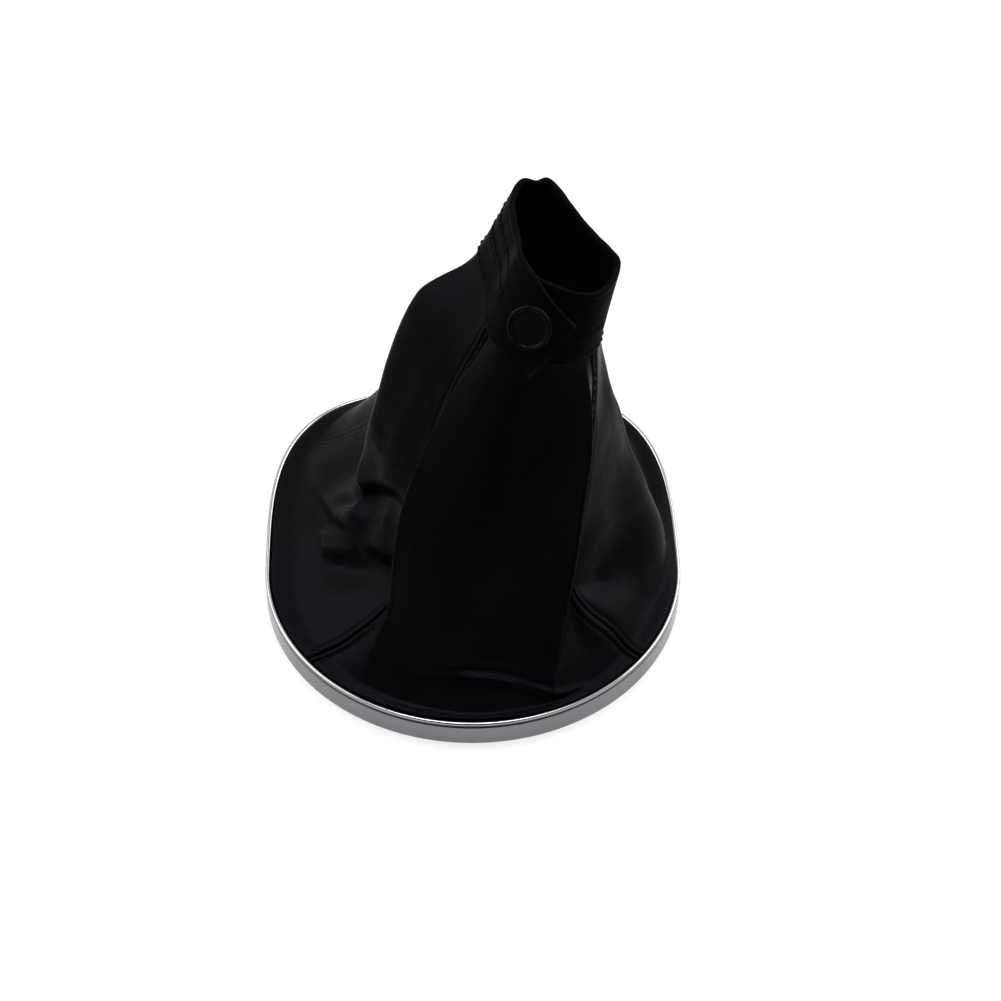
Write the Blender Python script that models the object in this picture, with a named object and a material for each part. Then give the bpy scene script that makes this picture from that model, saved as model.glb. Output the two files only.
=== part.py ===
"""Gear lever gaiter: a chromed trim ring, its retaining frame, four sewn leather panels that hang in
folds, and a leather collar that a press stud closes round the lever.

All sizes are in metres. The origin is at the centre of the ring's plan, on the plane that the ring
stands on. The front faces -Y, and the neck leans to +X. A bearing is an angle in degrees in plan,
counterclockwise from +X.
"""

import math
from collections import namedtuple

import bmesh
import bpy
from mathutils import Vector

# Clearances
FIT = 0.0003
FRAME_PLAY = 0.0006
SEAM_GAP = 0.0004

# Trim ring: an egg-like outline, rounder at the front than at the back
RING_WIDTH = 0.125
RING_LENGTH = 0.130
RING_HEIGHT = 0.0092
RING_WALL = 0.0022
RING_DRAFT = 0.0003
RING_WIDEST_Y = -0.00675
FRONT_ROUNDNESS = 2.0
BACK_ROUNDNESS = 3.3
BEAD_WIDTH = 0.0016
BEAD_HEIGHT = 0.0013
GROOVE_DEPTH = 0.0005
GROOVE_HEIGHT = 0.0005
RING_SIDES = 88

# Leather body
LEATHER = 0.0011
HEM_WIDTH = 0.0065
HEM_LIFT = 0.0006
LEATHER_REST_Z = 0.0078
BODY_SHOULDER = 0.0010
COLUMNS_PER_FOLD = 3
ROWS_PER_STAGE = 4

# Retaining frame, inside the hem
FRAME_WIDTH = 0.0080
FRAME_FLOOR = 0.0018
FRAME_RIM_WIDTH = 0.0018
FRAME_RIM_HEIGHT = 0.0040
FRAME_SIDES = 64
TONGUE_COUNT = 8
TONGUE_WIDTH = 0.0070
TONGUE_REACH = 0.0035
TONGUE_BARB = 0.0012

# Neck: the loop where body and collar are sewn together, and the mouth above it
NECK_X = 0.0200
NECK_Y = 0.01325
NECK_HEIGHT = 0.1030
MOUTH_SHIFT_X = 0.0054
MOUTH_SHIFT_Y = 0.0052
COLLAR_RISE = 0.0190
NECK_SLOPE_X = -0.26
NECK_SLOPE_Y = 0.05
NECK_SIZE = 0.0230
MOUTH_SIZE = 0.0215

# Collar band and the snap that closes it
COLLAR_THICKNESS = 0.0019
COLLAR_PROUD = 0.0005
UNDERLAP_BEARING = -138.0
UNDERLAP_TUCK = 42.0
UNDERLAP_RAMP = 34.0
STRAP_END_BEARING = -80.0
STRAP_TURN_BEARING = -114.0
STRAP_SLANT = 20.0
STRAP_GAP = 0.0019
STRAP_TOP_DROP = 0.36
STRAP_FOOT_DROP = 0.12
STRAP_RAMP = 34.0
COLLAR_COLUMNS = 60
SNAP_BEARING = -106.0
SNAP_HEIGHT = 0.44
CAP_RADIUS = 0.0064
CAP_HEIGHT = 0.0021
STEM_RADIUS = 0.0014
HOLE_RADIUS = 0.0024
WASHER_RADIUS = 0.0036
WASHER_THICKNESS = 0.0007
SNAP_SIDES = 24

# Outlines of the neck and the mouth: bearing from their centre, reach as a share of their size
NECK_OUTLINE = (
    (-173, 0.69), (-144, 0.775), (-122, 0.95), (-101, 1.03), (-77, 1.0), (-48, 0.90), (-20, 0.70),
    (10, 0.62), (52, 0.70), (90, 0.96), (115, 1.07), (142, 0.97), (162, 0.79),
)
MOUTH_OUTLINE = (
    (-154, 0.59), (-126, 0.70), (-105, 0.86), (-88, 0.93), (-72, 0.955), (-58, 0.915), (-43, 0.85),
    (-27, 0.79), (-14, 0.735), (-4, 0.62), (17, 0.48), (52, 0.46), (79, 0.605), (90, 0.78),
    (100, 0.96), (110, 0.93), (119, 1.01), (140, 0.82), (163, 0.65),
)

# A fold line runs up the leather from the ring to the neck. Each stage between them is a bearing, the
# share of the way out from neck to ring, and the share of the rise. Crease 1 is sharp, 0 is soft.
# Breaks say how sharply the line itself turns at each of its four stages.
Fold = namedtuple("Fold", "name ring_bearing neck_bearing crease breaks stages")
SMOOTH = (0.0, 0.0, 0.0, 0.0)
TOE = (0.6, 0.0, 0.0, 0.0)
TIP = (0.2, 0.8, 0.0, 0.0)
FOLDS = (
    Fold("front_middle", -90, -92, 0.0, TOE,
         ((-90, 0.83, 0.06), (-91, 0.67, 0.21), (-91, 0.42, 0.50), (-91, 0.13, 0.82))),
    Fold("front_right_face", -77, -76, 0.0, TOE,
         ((-77, 0.85, 0.05), (-76, 0.68, 0.22), (-74, 0.43, 0.51), (-71, 0.15, 0.84))),
    Fold("front_right_edge", -66, -60, 0.85, TOE,
         ((-67, 0.93, 0.05), (-65, 0.73, 0.22), (-59, 0.46, 0.52), (-53, 0.20, 0.85))),
    Fold("front_right_pocket", -52, -53, 0.0, TOE,
         ((-55, 0.87, 0.05), (-65, 0.54, 0.20), (-64, 0.30, 0.51), (-53, 0.10, 0.85))),
    Fold("front_right_seam", -36, -49, 0.0, SMOOTH,
         ((-44, 0.80, 0.08), (-61, 0.50, 0.22), (-58, 0.23, 0.52), (-48, 0.06, 0.85))),
    Fold("right_face", -17, -28, 0.0, SMOOTH,
         ((-23, 0.75, 0.07), (-33, 0.42, 0.22), (-38, 0.20, 0.52), (-32, 0.04, 0.86))),
    Fold("right_ridge", 2, -8, 0.6, SMOOTH,
         ((4, 0.93, 0.12), (3, 0.71, 0.29), (-1, 0.40, 0.52), (-8, 0.10, 0.85))),
    Fold("right_valley", 26, 22, 0.0, SMOOTH,
         ((25, 0.64, 0.07), (21, 0.36, 0.21), (18, 0.16, 0.52), (18, 0.04, 0.85))),
    Fold("rear_right_seam", 48, 50, 0.0, SMOOTH,
         ((48, 0.82, 0.07), (48, 0.56, 0.22), (48, 0.26, 0.52), (48, 0.05, 0.85))),
    Fold("rear_right_ridge", 70, 78, 0.3, SMOOTH,
         ((70, 0.88, 0.10), (71, 0.68, 0.27), (74, 0.40, 0.55), (76, 0.15, 0.85))),
    Fold("rear_valley", 90, 98, 0.0, SMOOTH,
         ((90, 0.80, 0.06), (92, 0.50, 0.20), (95, 0.22, 0.50), (97, 0.05, 0.84))),
    Fold("rear_left_ridge", 112, 116, 0.3, SMOOTH,
         ((112, 0.90, 0.11), (113, 0.70, 0.28), (115, 0.44, 0.56), (116, 0.18, 0.84))),
    Fold("rear_left_seam", 136, 130, 0.0, SMOOTH,
         ((136, 0.80, 0.06), (136, 0.56, 0.20), (134, 0.34, 0.48), (131, 0.12, 0.82))),
    Fold("left_valley", 156, 137, 0.0, SMOOTH,
         ((156, 0.80, 0.06), (156, 0.52, 0.18), (153, 0.38, 0.44), (144, 0.22, 0.77))),
    Fold("left_ridge", 173, 148, 0.6, TIP,
         ((177, 0.76, 0.08), (180, 0.62, 0.27), (172, 0.51, 0.56), (151, 0.29, 0.87))),
    Fold("left_face", 194, 180, 0.0, SMOOTH,
         ((191, 0.82, 0.05), (194, 0.58, 0.18), (190, 0.48, 0.48), (182, 0.27, 0.78))),
    Fold("front_left_seam", 214, 216, 0.0, SMOOTH,
         ((220, 0.85, 0.06), (225, 0.62, 0.18), (218, 0.42, 0.45), (212, 0.21, 0.75))),
    Fold("front_left_edge", 232, 223, 0.85, TOE,
         ((230, 0.88, 0.07), (230, 0.73, 0.22), (222, 0.55, 0.48), (215, 0.25, 0.76))),
    Fold("front_left_face", 250, 245, 0.0, TOE,
         ((250, 0.84, 0.06), (250, 0.72, 0.22), (249, 0.47, 0.49), (247, 0.18, 0.80))),
)
PANELS = (
    ("front_panel", "front_left_seam", "front_right_seam"),
    ("right_panel", "front_right_seam", "rear_right_seam"),
    ("rear_panel", "rear_right_seam", "rear_left_seam"),
    ("left_panel", "rear_left_seam", "front_left_seam"),
)

CHROME = ("chrome", (0.62, 0.63, 0.65), 0.16, 1.0)
BLACK_PLASTIC = ("black_plastic", (0.025, 0.025, 0.027), 0.5, 0.0)
BLACK_LEATHER = ("black_leather", (0.012, 0.012, 0.015), 0.42, 0.0)
BLACK_ENAMEL = ("black_enamel", (0.010, 0.010, 0.012), 0.22, 0.0)
STEEL = ("snap_steel", (0.42, 0.42, 0.43), 0.35, 1.0)


def clear_scene():
    for old in list(bpy.data.objects):
        bpy.data.objects.remove(old, do_unlink=True)


def material(finish):
    """The Principled material of a finish: its name, colour, roughness and metallic value."""
    name, colour, roughness, metallic = finish
    made = bpy.data.materials.get(name)
    if made is None:
        made = bpy.data.materials.new(name)
        made.use_nodes = True
        shader = made.node_tree.nodes["Principled BSDF"]
        shader.inputs["Base Color"].default_value = (*colour, 1.0)
        shader.inputs["Roughness"].default_value = roughness
        shader.inputs["Metallic"].default_value = metallic
    return made


def add_object(name, solid, finish, sharp_angle=40.0):
    """A named object from a closed bmesh, shaded smooth up to the sharp angle."""
    bmesh.ops.recalc_face_normals(solid, faces=solid.faces)
    mesh = bpy.data.meshes.new(name)
    solid.to_mesh(mesh)
    solid.free()
    mesh.materials.append(material(finish))
    mesh.shade_smooth()
    mesh.set_sharp_from_angle(angle=math.radians(sharp_angle))
    made = bpy.data.objects.new(name, mesh)
    bpy.context.collection.objects.link(made)
    return made


def between(start, end, share):
    return start + (end - start) * share


def ease(value):
    """0 up to 0, 1 from 1, and a smooth step between them."""
    value = min(max(value, 0.0), 1.0)
    return value * value * (3.0 - 2.0 * value)


def hermite(start, end, start_slope, end_slope, share):
    squared = share * share
    cubed = squared * share
    return (start * (2 * cubed - 3 * squared + 1) + start_slope * (cubed - 2 * squared + share)
            + end * (3 * squared - 2 * cubed) + end_slope * (cubed - squared))


def directions(points, closed):
    """The unit direction of a smooth curve at each of its points."""
    count = len(points)
    found = []
    for index in range(count):
        before = points[index - 1] if closed or index > 0 else points[index]
        after = points[(index + 1) % count] if closed or index < count - 1 else points[index]
        found.append((after - before).normalized())
    return found


def curve_samples(points, steps, closed=False, creases=None):
    """Points of a smooth curve through the given ones, with so many steps between each two."""
    heading = directions(points, closed)
    creases = creases or [0.0] * len(points)
    spans = len(points) if closed else len(points) - 1
    samples = []
    for index in range(spans):
        following = (index + 1) % len(points)
        start, end = points[index], points[following]
        length = (end - start).length
        start_slope = heading[index] * length * (1.0 - creases[index])
        end_slope = heading[following] * length * (1.0 - creases[following])
        for step in range(steps):
            samples.append(hermite(start, end, start_slope, end_slope, step / steps))
    if not closed:
        samples.append(points[-1].copy())
    return samples


def reach_at(outline, bearing):
    """The reach of a closed outline of (bearing, reach) at any bearing, as a smooth curve."""
    table = sorted((angle % 360, reach) for angle, reach in outline)
    count = len(table)
    bearing = bearing % 360
    following = next((i for i, row in enumerate(table) if row[0] > bearing), 0)

    def row(index):
        angle, reach = table[index % count]
        return angle + 360 * (index // count), reach

    if following == 0 and bearing < table[0][0]:
        bearing += 360
    if following == 0:
        following = count
    low, high = row(following - 1), row(following)
    if bearing < low[0]:
        bearing += 360
    before, after = row(following - 2), row(following + 1)
    span = high[0] - low[0]
    low_slope = (high[1] - before[1]) / (high[0] - before[0]) * span
    high_slope = (after[1] - low[1]) / (after[0] - low[0]) * span
    return hermite(low[1], high[1], low_slope, high_slope, (bearing - low[0]) / span)


def ring_edge(bearing, inset):
    """A point in plan on the ring's outline, moved in square to it by the inset."""
    angle = math.radians(bearing)
    across, along = math.cos(angle), math.sin(angle)
    half_width = RING_WIDTH / 2
    if along >= 0:
        half_length, power = RING_LENGTH / 2 - RING_WIDEST_Y, BACK_ROUNDNESS
    else:
        half_length, power = RING_LENGTH / 2 + RING_WIDEST_Y, FRONT_ROUNDNESS
    reach = (abs(across / half_width) ** power + abs(along / half_length) ** power) ** (-1 / power)
    x, y = reach * across, reach * along
    slope_x = math.copysign(abs(x / half_width) ** (power - 1) / half_width, x)
    slope_y = math.copysign(abs(y / half_length) ** (power - 1) / half_length, y)
    outward = Vector((slope_x, slope_y)).normalized()
    return Vector((x, y + RING_WIDEST_Y)) - outward * inset


def neck_centre():
    """The middle of the loop where body and collar are sewn together."""
    return Vector((NECK_X, NECK_Y, NECK_HEIGHT))


def mouth_centre():
    """The middle of the collar's top edge."""
    return neck_centre() + Vector((MOUTH_SHIFT_X, MOUTH_SHIFT_Y, COLLAR_RISE))


def loop_point(centre, outline, size, bearing):
    """A point of the neck's or the mouth's sloping loop."""
    reach = reach_at(outline, bearing) * size
    x = reach * math.cos(math.radians(bearing))
    y = reach * math.sin(math.radians(bearing))
    return centre + Vector((x, y, NECK_SLOPE_X * x + NECK_SLOPE_Y * y))


def neck_point(bearing):
    return loop_point(neck_centre(), NECK_OUTLINE, NECK_SIZE, bearing)


def mouth_point(bearing):
    return loop_point(mouth_centre(), MOUTH_OUTLINE, MOUTH_SIZE, bearing)


def leather_inset():
    """How far inside the ring's outline the leather's outer face starts."""
    return RING_WALL + FIT


def body_point(place):
    """The point for an unrolled place: bearing, share of the way out, share of the rise."""
    bearing, out, rise = unrolled_shares(place)
    top = neck_point(bearing)
    foot = ring_edge(bearing, leather_inset() + BODY_SHOULDER)
    plan = between(top.xy, foot, out)
    return Vector((plan.x, plan.y, between(LEATHER_REST_Z, top.z, rise)))


def unrolled(bearing, out, rise):
    """Bearing and shares as lengths, so that a curve runs evenly through them."""
    return Vector((math.radians(bearing) * NECK_SIZE * 2, out * RING_WIDTH / 3, rise * NECK_HEIGHT))


def unrolled_shares(place):
    bearing = math.degrees(place.x / (NECK_SIZE * 2))
    return bearing, place.y / (RING_WIDTH / 3), place.z / NECK_HEIGHT


def fold_places():
    """Each fold line as a column of unrolled places, from the ring up to the neck."""
    columns = []
    for fold in FOLDS:
        stages = [(fold.ring_bearing, 1.0, 0.0), *fold.stages, (fold.neck_bearing, 0.0, 1.0)]
        places = [unrolled(*stage) for stage in stages]
        columns.append(curve_samples(places, ROWS_PER_STAGE, False, [0.0, *fold.breaks, 0.0]))
    return columns


def body_rows():
    """The leather's outer face as rows of points round the body, from the ring to the neck."""
    columns = fold_places()
    creases = [fold.crease for fold in FOLDS]
    turn = Vector((math.radians(360) * NECK_SIZE * 2, 0, 0))
    rows = []
    for level in range(len(columns[0])):
        places = [column[level] for column in columns]
        lead, tail = places[-1] - turn, places[0] + turn
        open_row = curve_samples([lead, *places, tail], COLUMNS_PER_FOLD, False,
                                 [creases[-1], *creases, creases[0]])
        kept = open_row[COLUMNS_PER_FOLD:-1]
        rows.append([body_point(place) for place in kept])
    return rows


def hem_rows(bearings):
    """The hem: down between ring and frame, and turned in under the frame."""
    inset = leather_inset()
    corner = LEATHER * 0.6
    profile = (
        (inset + LEATHER + HEM_WIDTH, HEM_LIFT),
        (inset + corner, HEM_LIFT),
        (inset, HEM_LIFT + corner),
        (inset, LEATHER_REST_Z - corner),
    )
    rows = []
    for depth, z in profile:
        rows.append([ring_edge(bearing, depth).to_3d() + Vector((0, 0, z)) for bearing in bearings])
    return rows


def surface_normals(rows):
    """The outward normal at each point of rows that close round the body."""
    count = len(rows[0])
    normals = []
    for level, row in enumerate(rows):
        below = rows[max(level - 1, 0)]
        above = rows[min(level + 1, len(rows) - 1)]
        line = []
        for index in range(count):
            along = row[(index + 1) % count] - row[index - 1]
            upward = above[index] - below[index]
            line.append(along.cross(upward).normalized())
        normals.append(line)
    return normals


def shell_solid(outer, inner):
    """A closed solid between two grids of points of the same shape."""
    solid = bmesh.new()
    grids = []
    for grid in (outer, inner):
        grids.append([[solid.verts.new(point) for point in row] for row in grid])
    last_row, last_column = len(outer) - 1, len(outer[0]) - 1
    for row in range(last_row):
        for column in range(last_column):
            for grid in grids:
                solid.faces.new((grid[row][column], grid[row][column + 1],
                                 grid[row + 1][column + 1], grid[row + 1][column]))
    front, back = grids
    for column in range(last_column):
        for row in (0, last_row):
            solid.faces.new((front[row][column], front[row][column + 1],
                             back[row][column + 1], back[row][column]))
    for row in range(last_row):
        for column in (0, last_column):
            solid.faces.new((front[row][column], front[row + 1][column],
                             back[row + 1][column], back[row][column]))
    return solid


def build_panels():
    """Four panels cut from one folded surface along its seam lines."""
    surface = body_rows()
    bearings = []
    for point in surface[0]:
        bearings.append(math.degrees(math.atan2(point.y - RING_WIDEST_Y, point.x)))
    rows = hem_rows(bearings) + surface
    normals = surface_normals(rows)
    count = len(surface[0])
    names = [fold.name for fold in FOLDS]
    for name, first_seam, last_seam in PANELS:
        first = names.index(first_seam) * COLUMNS_PER_FOLD
        last = names.index(last_seam) * COLUMNS_PER_FOLD
        if last < first:
            last += count
        outer, inner = [], []
        for row, row_normals in zip(rows, normals):
            points = [row[index % count].copy() for index in range(first, last + 1)]
            outward = [row_normals[index % count] for index in range(first, last + 1)]
            points[0] += (points[1] - points[0]).normalized() * SEAM_GAP / 2
            points[-1] += (points[-2] - points[-1]).normalized() * SEAM_GAP / 2
            outer.append(points)
            inner.append([point - normal * LEATHER for point, normal in zip(points, outward)])
        add_object(name, shell_solid(outer, inner), BLACK_LEATHER, 60.0)


def swept_ring(profile, sides):
    """A closed ring of a closed (inset, z) profile swept round the outline."""
    solid = bmesh.new()
    loops = []
    for step in range(sides):
        bearing = 360.0 * step / sides
        loops.append([solid.verts.new(ring_edge(bearing, inset).to_3d() + Vector((0, 0, z)))
                      for inset, z in profile])
    for step in range(sides):
        here, there = loops[step], loops[(step + 1) % sides]
        for index in range(len(profile)):
            following = (index + 1) % len(profile)
            solid.faces.new((here[index], there[index], there[following], here[following]))
    return solid


def build_ring():
    """The trim ring: a drafted wall, a shadow groove, and a bright bead round the top."""
    groove_top = RING_HEIGHT - BEAD_HEIGHT
    groove_floor = groove_top - GROOVE_HEIGHT
    bead_middle = BEAD_WIDTH / 2
    profile = (
        (0.0, 0.0),
        (RING_DRAFT, groove_floor),
        (GROOVE_DEPTH, groove_floor + GROOVE_HEIGHT * 0.3),
        (GROOVE_DEPTH, groove_top),
        (0.0, groove_top + BEAD_HEIGHT * 0.35),
        (bead_middle * 0.35, RING_HEIGHT - BEAD_HEIGHT * 0.2),
        (bead_middle, RING_HEIGHT),
        (BEAD_WIDTH, RING_HEIGHT - BEAD_HEIGHT * 0.3),
        (RING_WALL, groove_floor),
        (RING_WALL, 0.0),
    )
    add_object("chrome_ring", swept_ring(profile, RING_SIDES), CHROME)


def frame_levels():
    """The frame's outer inset and its floor's underside, from what the hem leaves free."""
    return leather_inset() + LEATHER + FRAME_PLAY, HEM_LIFT + LEATHER + FIT


def build_frame():
    """The frame that carries the hem: a floor flange, a rim, and snap tongues for the console."""
    outer_inset, bottom = frame_levels()
    top = bottom + FRAME_FLOOR
    profile = (
        (outer_inset, bottom),
        (outer_inset, bottom + FRAME_RIM_HEIGHT),
        (outer_inset + FRAME_RIM_WIDTH, bottom + FRAME_RIM_HEIGHT),
        (outer_inset + FRAME_RIM_WIDTH, top),
        (outer_inset + FRAME_WIDTH, top),
        (outer_inset + FRAME_WIDTH, bottom),
    )
    frame = add_object("base_frame", swept_ring(profile, FRAME_SIDES), BLACK_PLASTIC, 30.0)
    tongues = tongue_cutters(outer_inset + FRAME_WIDTH, bottom, top)
    join = frame.modifiers.new("tongues", "BOOLEAN")
    join.operation = "UNION"
    join.object = tongues


def tongue_cutters(inset, bottom, top):
    """The snap tongues in one guide object: each runs in from the flange and ends in a barb."""
    solid = bmesh.new()
    root = -FRAME_WIDTH / 3
    barb = top + TONGUE_BARB
    section = (
        (root, bottom + FIT), (TONGUE_REACH, bottom + FIT), (TONGUE_REACH, top),
        (TONGUE_REACH * 0.7, barb), (TONGUE_REACH * 0.4, barb), (TONGUE_REACH * 0.4, top - FIT),
        (root, top - FIT),
    )
    for index in range(TONGUE_COUNT):
        bearing = 360.0 * (index + 0.5) / TONGUE_COUNT
        base = ring_edge(bearing, inset).to_3d()
        inward = (ring_edge(bearing, inset + TONGUE_REACH).to_3d() - base).normalized()
        sideways = Vector((-inward.y, inward.x, 0)) * TONGUE_WIDTH / 2
        ends = []
        for side in (-1, 1):
            ends.append([solid.verts.new(base + inward * run + sideways * side + Vector((0, 0, z)))
                         for run, z in section])
        solid.faces.new(ends[0])
        solid.faces.new(reversed(ends[1]))
        for step in range(len(section)):
            following = (step + 1) % len(section)
            solid.faces.new((ends[0][step], ends[0][following], ends[1][following], ends[1][step]))
    guide = add_object("tongue_guide", solid, BLACK_PLASTIC)
    guide.hide_render = True
    guide.display_type = "WIRE"
    return guide


def collar_frame(bearing, height):
    """A point of the collar's cone and the outward normal there."""
    small = 2.0
    base, rim = neck_point(bearing), mouth_point(bearing)
    before = between(neck_point(bearing - small), mouth_point(bearing - small), height)
    after = between(neck_point(bearing + small), mouth_point(bearing + small), height)
    normal = (after - before).cross(rim - base).normalized()
    return between(base, rim, height), normal


def collar_layer(bearing):
    """How far out the band lies at a running bearing: tucked in under the snap, and over itself last."""
    strap_lift = COLLAR_THICKNESS + FIT
    apart = ease((bearing - (360 + UNDERLAP_BEARING - STRAP_RAMP)) / STRAP_RAMP)
    tucked = 1.0 - ease((bearing - UNDERLAP_BEARING - UNDERLAP_TUCK) / UNDERLAP_RAMP)
    return apart * strap_lift - tucked * STRAP_GAP


def strap_share(bearing):
    """0 on the band, growing evenly to 1 at the end of the strap, which turns down."""
    turned_by = (bearing - (360 + STRAP_TURN_BEARING)) / (STRAP_END_BEARING - STRAP_TURN_BEARING)
    return max(turned_by, 0.0) ** 1.3


def build_collar():
    """The folded band: it starts under the snap, runs once round and ends as the strap over itself."""
    foot = FIT / (mouth_centre() - neck_centre()).length
    heights = (foot, foot + 0.06, 0.35, 0.65, 0.94, 1.0)
    roll = LEATHER * 0.45
    rolls = (0.0, 0.0, 0.0, 0.0, 0.0, roll)
    first, last = UNDERLAP_BEARING, 360 + STRAP_END_BEARING
    outer, inner = [[] for _ in heights], [[] for _ in heights]
    for step in range(COLLAR_COLUMNS + 1):
        running = first + (last - first) * step / COLLAR_COLUMNS
        strap = strap_share(running)
        face = COLLAR_PROUD + collar_layer(running)
        for level, height in enumerate(heights):
            bearing = running - strap * STRAP_SLANT * (1.0 - height)
            drop = strap * between(STRAP_FOOT_DROP, STRAP_TOP_DROP, height)
            point, normal = collar_frame(bearing, height - drop)
            outer[level].append(point + normal * (face - rolls[level]))
            inner[level].append(point + normal * (face - COLLAR_THICKNESS + rolls[level]))
    collar = add_object("collar_band", shell_solid(outer, inner), BLACK_LEATHER, 50.0)
    hole = snap_hole()
    cut = collar.modifiers.new("snap_hole", "BOOLEAN")
    cut.operation = "DIFFERENCE"
    cut.object = hole


def snap_axis():
    """The strap's outer face at the snap, and the direction out of it."""
    point, normal = collar_frame(SNAP_BEARING, SNAP_HEIGHT)
    return point + normal * (COLLAR_PROUD + collar_layer(360 + SNAP_BEARING)), normal


def turned(name, profile, finish, hidden=False):
    """A solid turned about the snap's axis from (radius, depth below the strap's face)."""
    origin, outward = snap_axis()
    side = outward.cross(Vector((0, 0, 1))).normalized()
    solid = bmesh.new()
    line = [solid.verts.new(origin + side * radius - outward * depth) for radius, depth in profile]
    edges = [solid.edges.new((line[i], line[i + 1])) for i in range(len(line) - 1)]
    if profile[0][0] > 0:
        edges.append(solid.edges.new((line[-1], line[0])))
    bmesh.ops.spin(solid, geom=line + edges, cent=origin, axis=outward, dvec=(0, 0, 0),
                   angle=math.radians(360), steps=SNAP_SIDES, use_merge=True, use_duplicate=False)
    bmesh.ops.remove_doubles(solid, verts=solid.verts, dist=0.00001)
    made = add_object(name, solid, finish, 35.0)
    made.hide_render = hidden
    if hidden:
        made.display_type = "WIRE"
    return made


def layer_distance():
    """From the strap's outer face at the snap to the underlap's."""
    return collar_layer(360 + SNAP_BEARING) - collar_layer(SNAP_BEARING)


def snap_hole():
    """The cutter for the holes that the snap's stems pass through, in strap and underlap."""
    reach = layer_distance() + COLLAR_THICKNESS
    return turned("snap_hole_guide", (
        (0, -COLLAR_THICKNESS), (HOLE_RADIUS, -COLLAR_THICKNESS),
        (HOLE_RADIUS, reach + COLLAR_THICKNESS), (0, reach + COLLAR_THICKNESS)), STEEL, True)


def build_snap():
    """The press stud: cap and socket on the strap, stud and post on the underlap."""
    strap_back = COLLAR_THICKNESS
    underlap = layer_distance()
    inside = underlap + COLLAR_THICKNESS
    edge = CAP_HEIGHT * 0.25
    turned("snap_cap", (
        (0, -FIT - CAP_HEIGHT), (CAP_RADIUS * 0.45, -FIT - CAP_HEIGHT * 0.96),
        (CAP_RADIUS * 0.78, -FIT - CAP_HEIGHT * 0.78), (CAP_RADIUS * 0.95, -FIT - CAP_HEIGHT * 0.5),
        (CAP_RADIUS, -FIT - edge), (CAP_RADIUS * 0.96, -FIT),
        (STEM_RADIUS, -FIT), (STEM_RADIUS, strap_back - FIT), (0, strap_back - FIT)), BLACK_ENAMEL)
    washer = (strap_back + underlap - WASHER_THICKNESS) / 2
    turned("snap_socket", (
        (HOLE_RADIUS, washer), (WASHER_RADIUS, washer),
        (WASHER_RADIUS, washer + WASHER_THICKNESS), (HOLE_RADIUS, washer + WASHER_THICKNESS)), STEEL)
    head = HOLE_RADIUS - FIT
    bore = STEM_RADIUS * 0.6
    turned("snap_stud", (
        (0, strap_back + FIT), (head * 0.7, strap_back + FIT), (head, washer + WASHER_THICKNESS / 2),
        (head * 0.8, underlap), (head, inside), (bore + FIT, inside),
        (bore + FIT, underlap), (0, underlap)), STEEL)
    sagitta = WASHER_RADIUS ** 2 / (2 * NECK_SIZE)
    seat = inside + FIT + 2 * sagitta
    turned("snap_post", (
        (0, underlap + FIT), (bore, underlap + FIT), (bore, seat), (WASHER_RADIUS, seat),
        (WASHER_RADIUS, seat + WASHER_THICKNESS), (0, seat + WASHER_THICKNESS)), STEEL)


def main():
    clear_scene()
    build_ring()
    build_frame()
    build_panels()
    build_collar()
    build_snap()


main()
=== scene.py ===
"""Looks of a black leather gear lever gaiter: sewn folds, press stud collar, trim ring and studio.

All sizes are in metres. A bearing is an angle in degrees in plan, counterclockwise from +X. The front
faces -Y and the neck leans to +X.
"""

import logging
import math
from dataclasses import dataclass, field, fields
from enum import Enum

import bmesh
import bpy
import numpy as np
from bpy.types import ID, Material, Mesh, Node, NodeSocket, NodeTree, Object
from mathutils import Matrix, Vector, noise


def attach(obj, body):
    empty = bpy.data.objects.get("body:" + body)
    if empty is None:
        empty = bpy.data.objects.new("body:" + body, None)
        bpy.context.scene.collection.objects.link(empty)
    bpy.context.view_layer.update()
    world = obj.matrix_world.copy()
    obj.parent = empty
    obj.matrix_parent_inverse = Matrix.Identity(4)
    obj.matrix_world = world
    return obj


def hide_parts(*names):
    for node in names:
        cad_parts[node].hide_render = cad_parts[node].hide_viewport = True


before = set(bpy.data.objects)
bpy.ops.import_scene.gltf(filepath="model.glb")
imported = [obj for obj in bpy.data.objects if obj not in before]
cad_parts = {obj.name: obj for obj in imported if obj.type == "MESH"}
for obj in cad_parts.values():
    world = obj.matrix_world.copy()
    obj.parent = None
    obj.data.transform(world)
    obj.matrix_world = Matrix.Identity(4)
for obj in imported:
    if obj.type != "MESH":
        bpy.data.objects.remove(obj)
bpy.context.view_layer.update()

log = logging.getLogger("gaiter")

Colour = tuple[float, float, float]
Points = np.ndarray
Feed = float | tuple | NodeSocket


class Slot(Enum):
    """The material slots of the record."""

    CHROME = "chrome"
    PLASTIC = "black_plastic"
    LEATHER = "black_leather"
    ENAMEL = "black_enamel"
    STEEL = "snap_steel"


class Hold(Enum):
    """How a leather sheet is held in its shape."""

    GATHERED = "gathered"
    FOLDED = "folded"


class Field(Enum):
    """The attributes that the meshes carry for their materials and node trees."""

    # How sharp a ridge is; it paints a highlight on the leather.
    RIDGE = "ridge"
    # The tone of the plated ring, which carries painted shade: a darker wall and a black groove.
    PLATING = "plating"
    SURFACE_NORMAL = "surface_normal"


# Node trees


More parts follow.
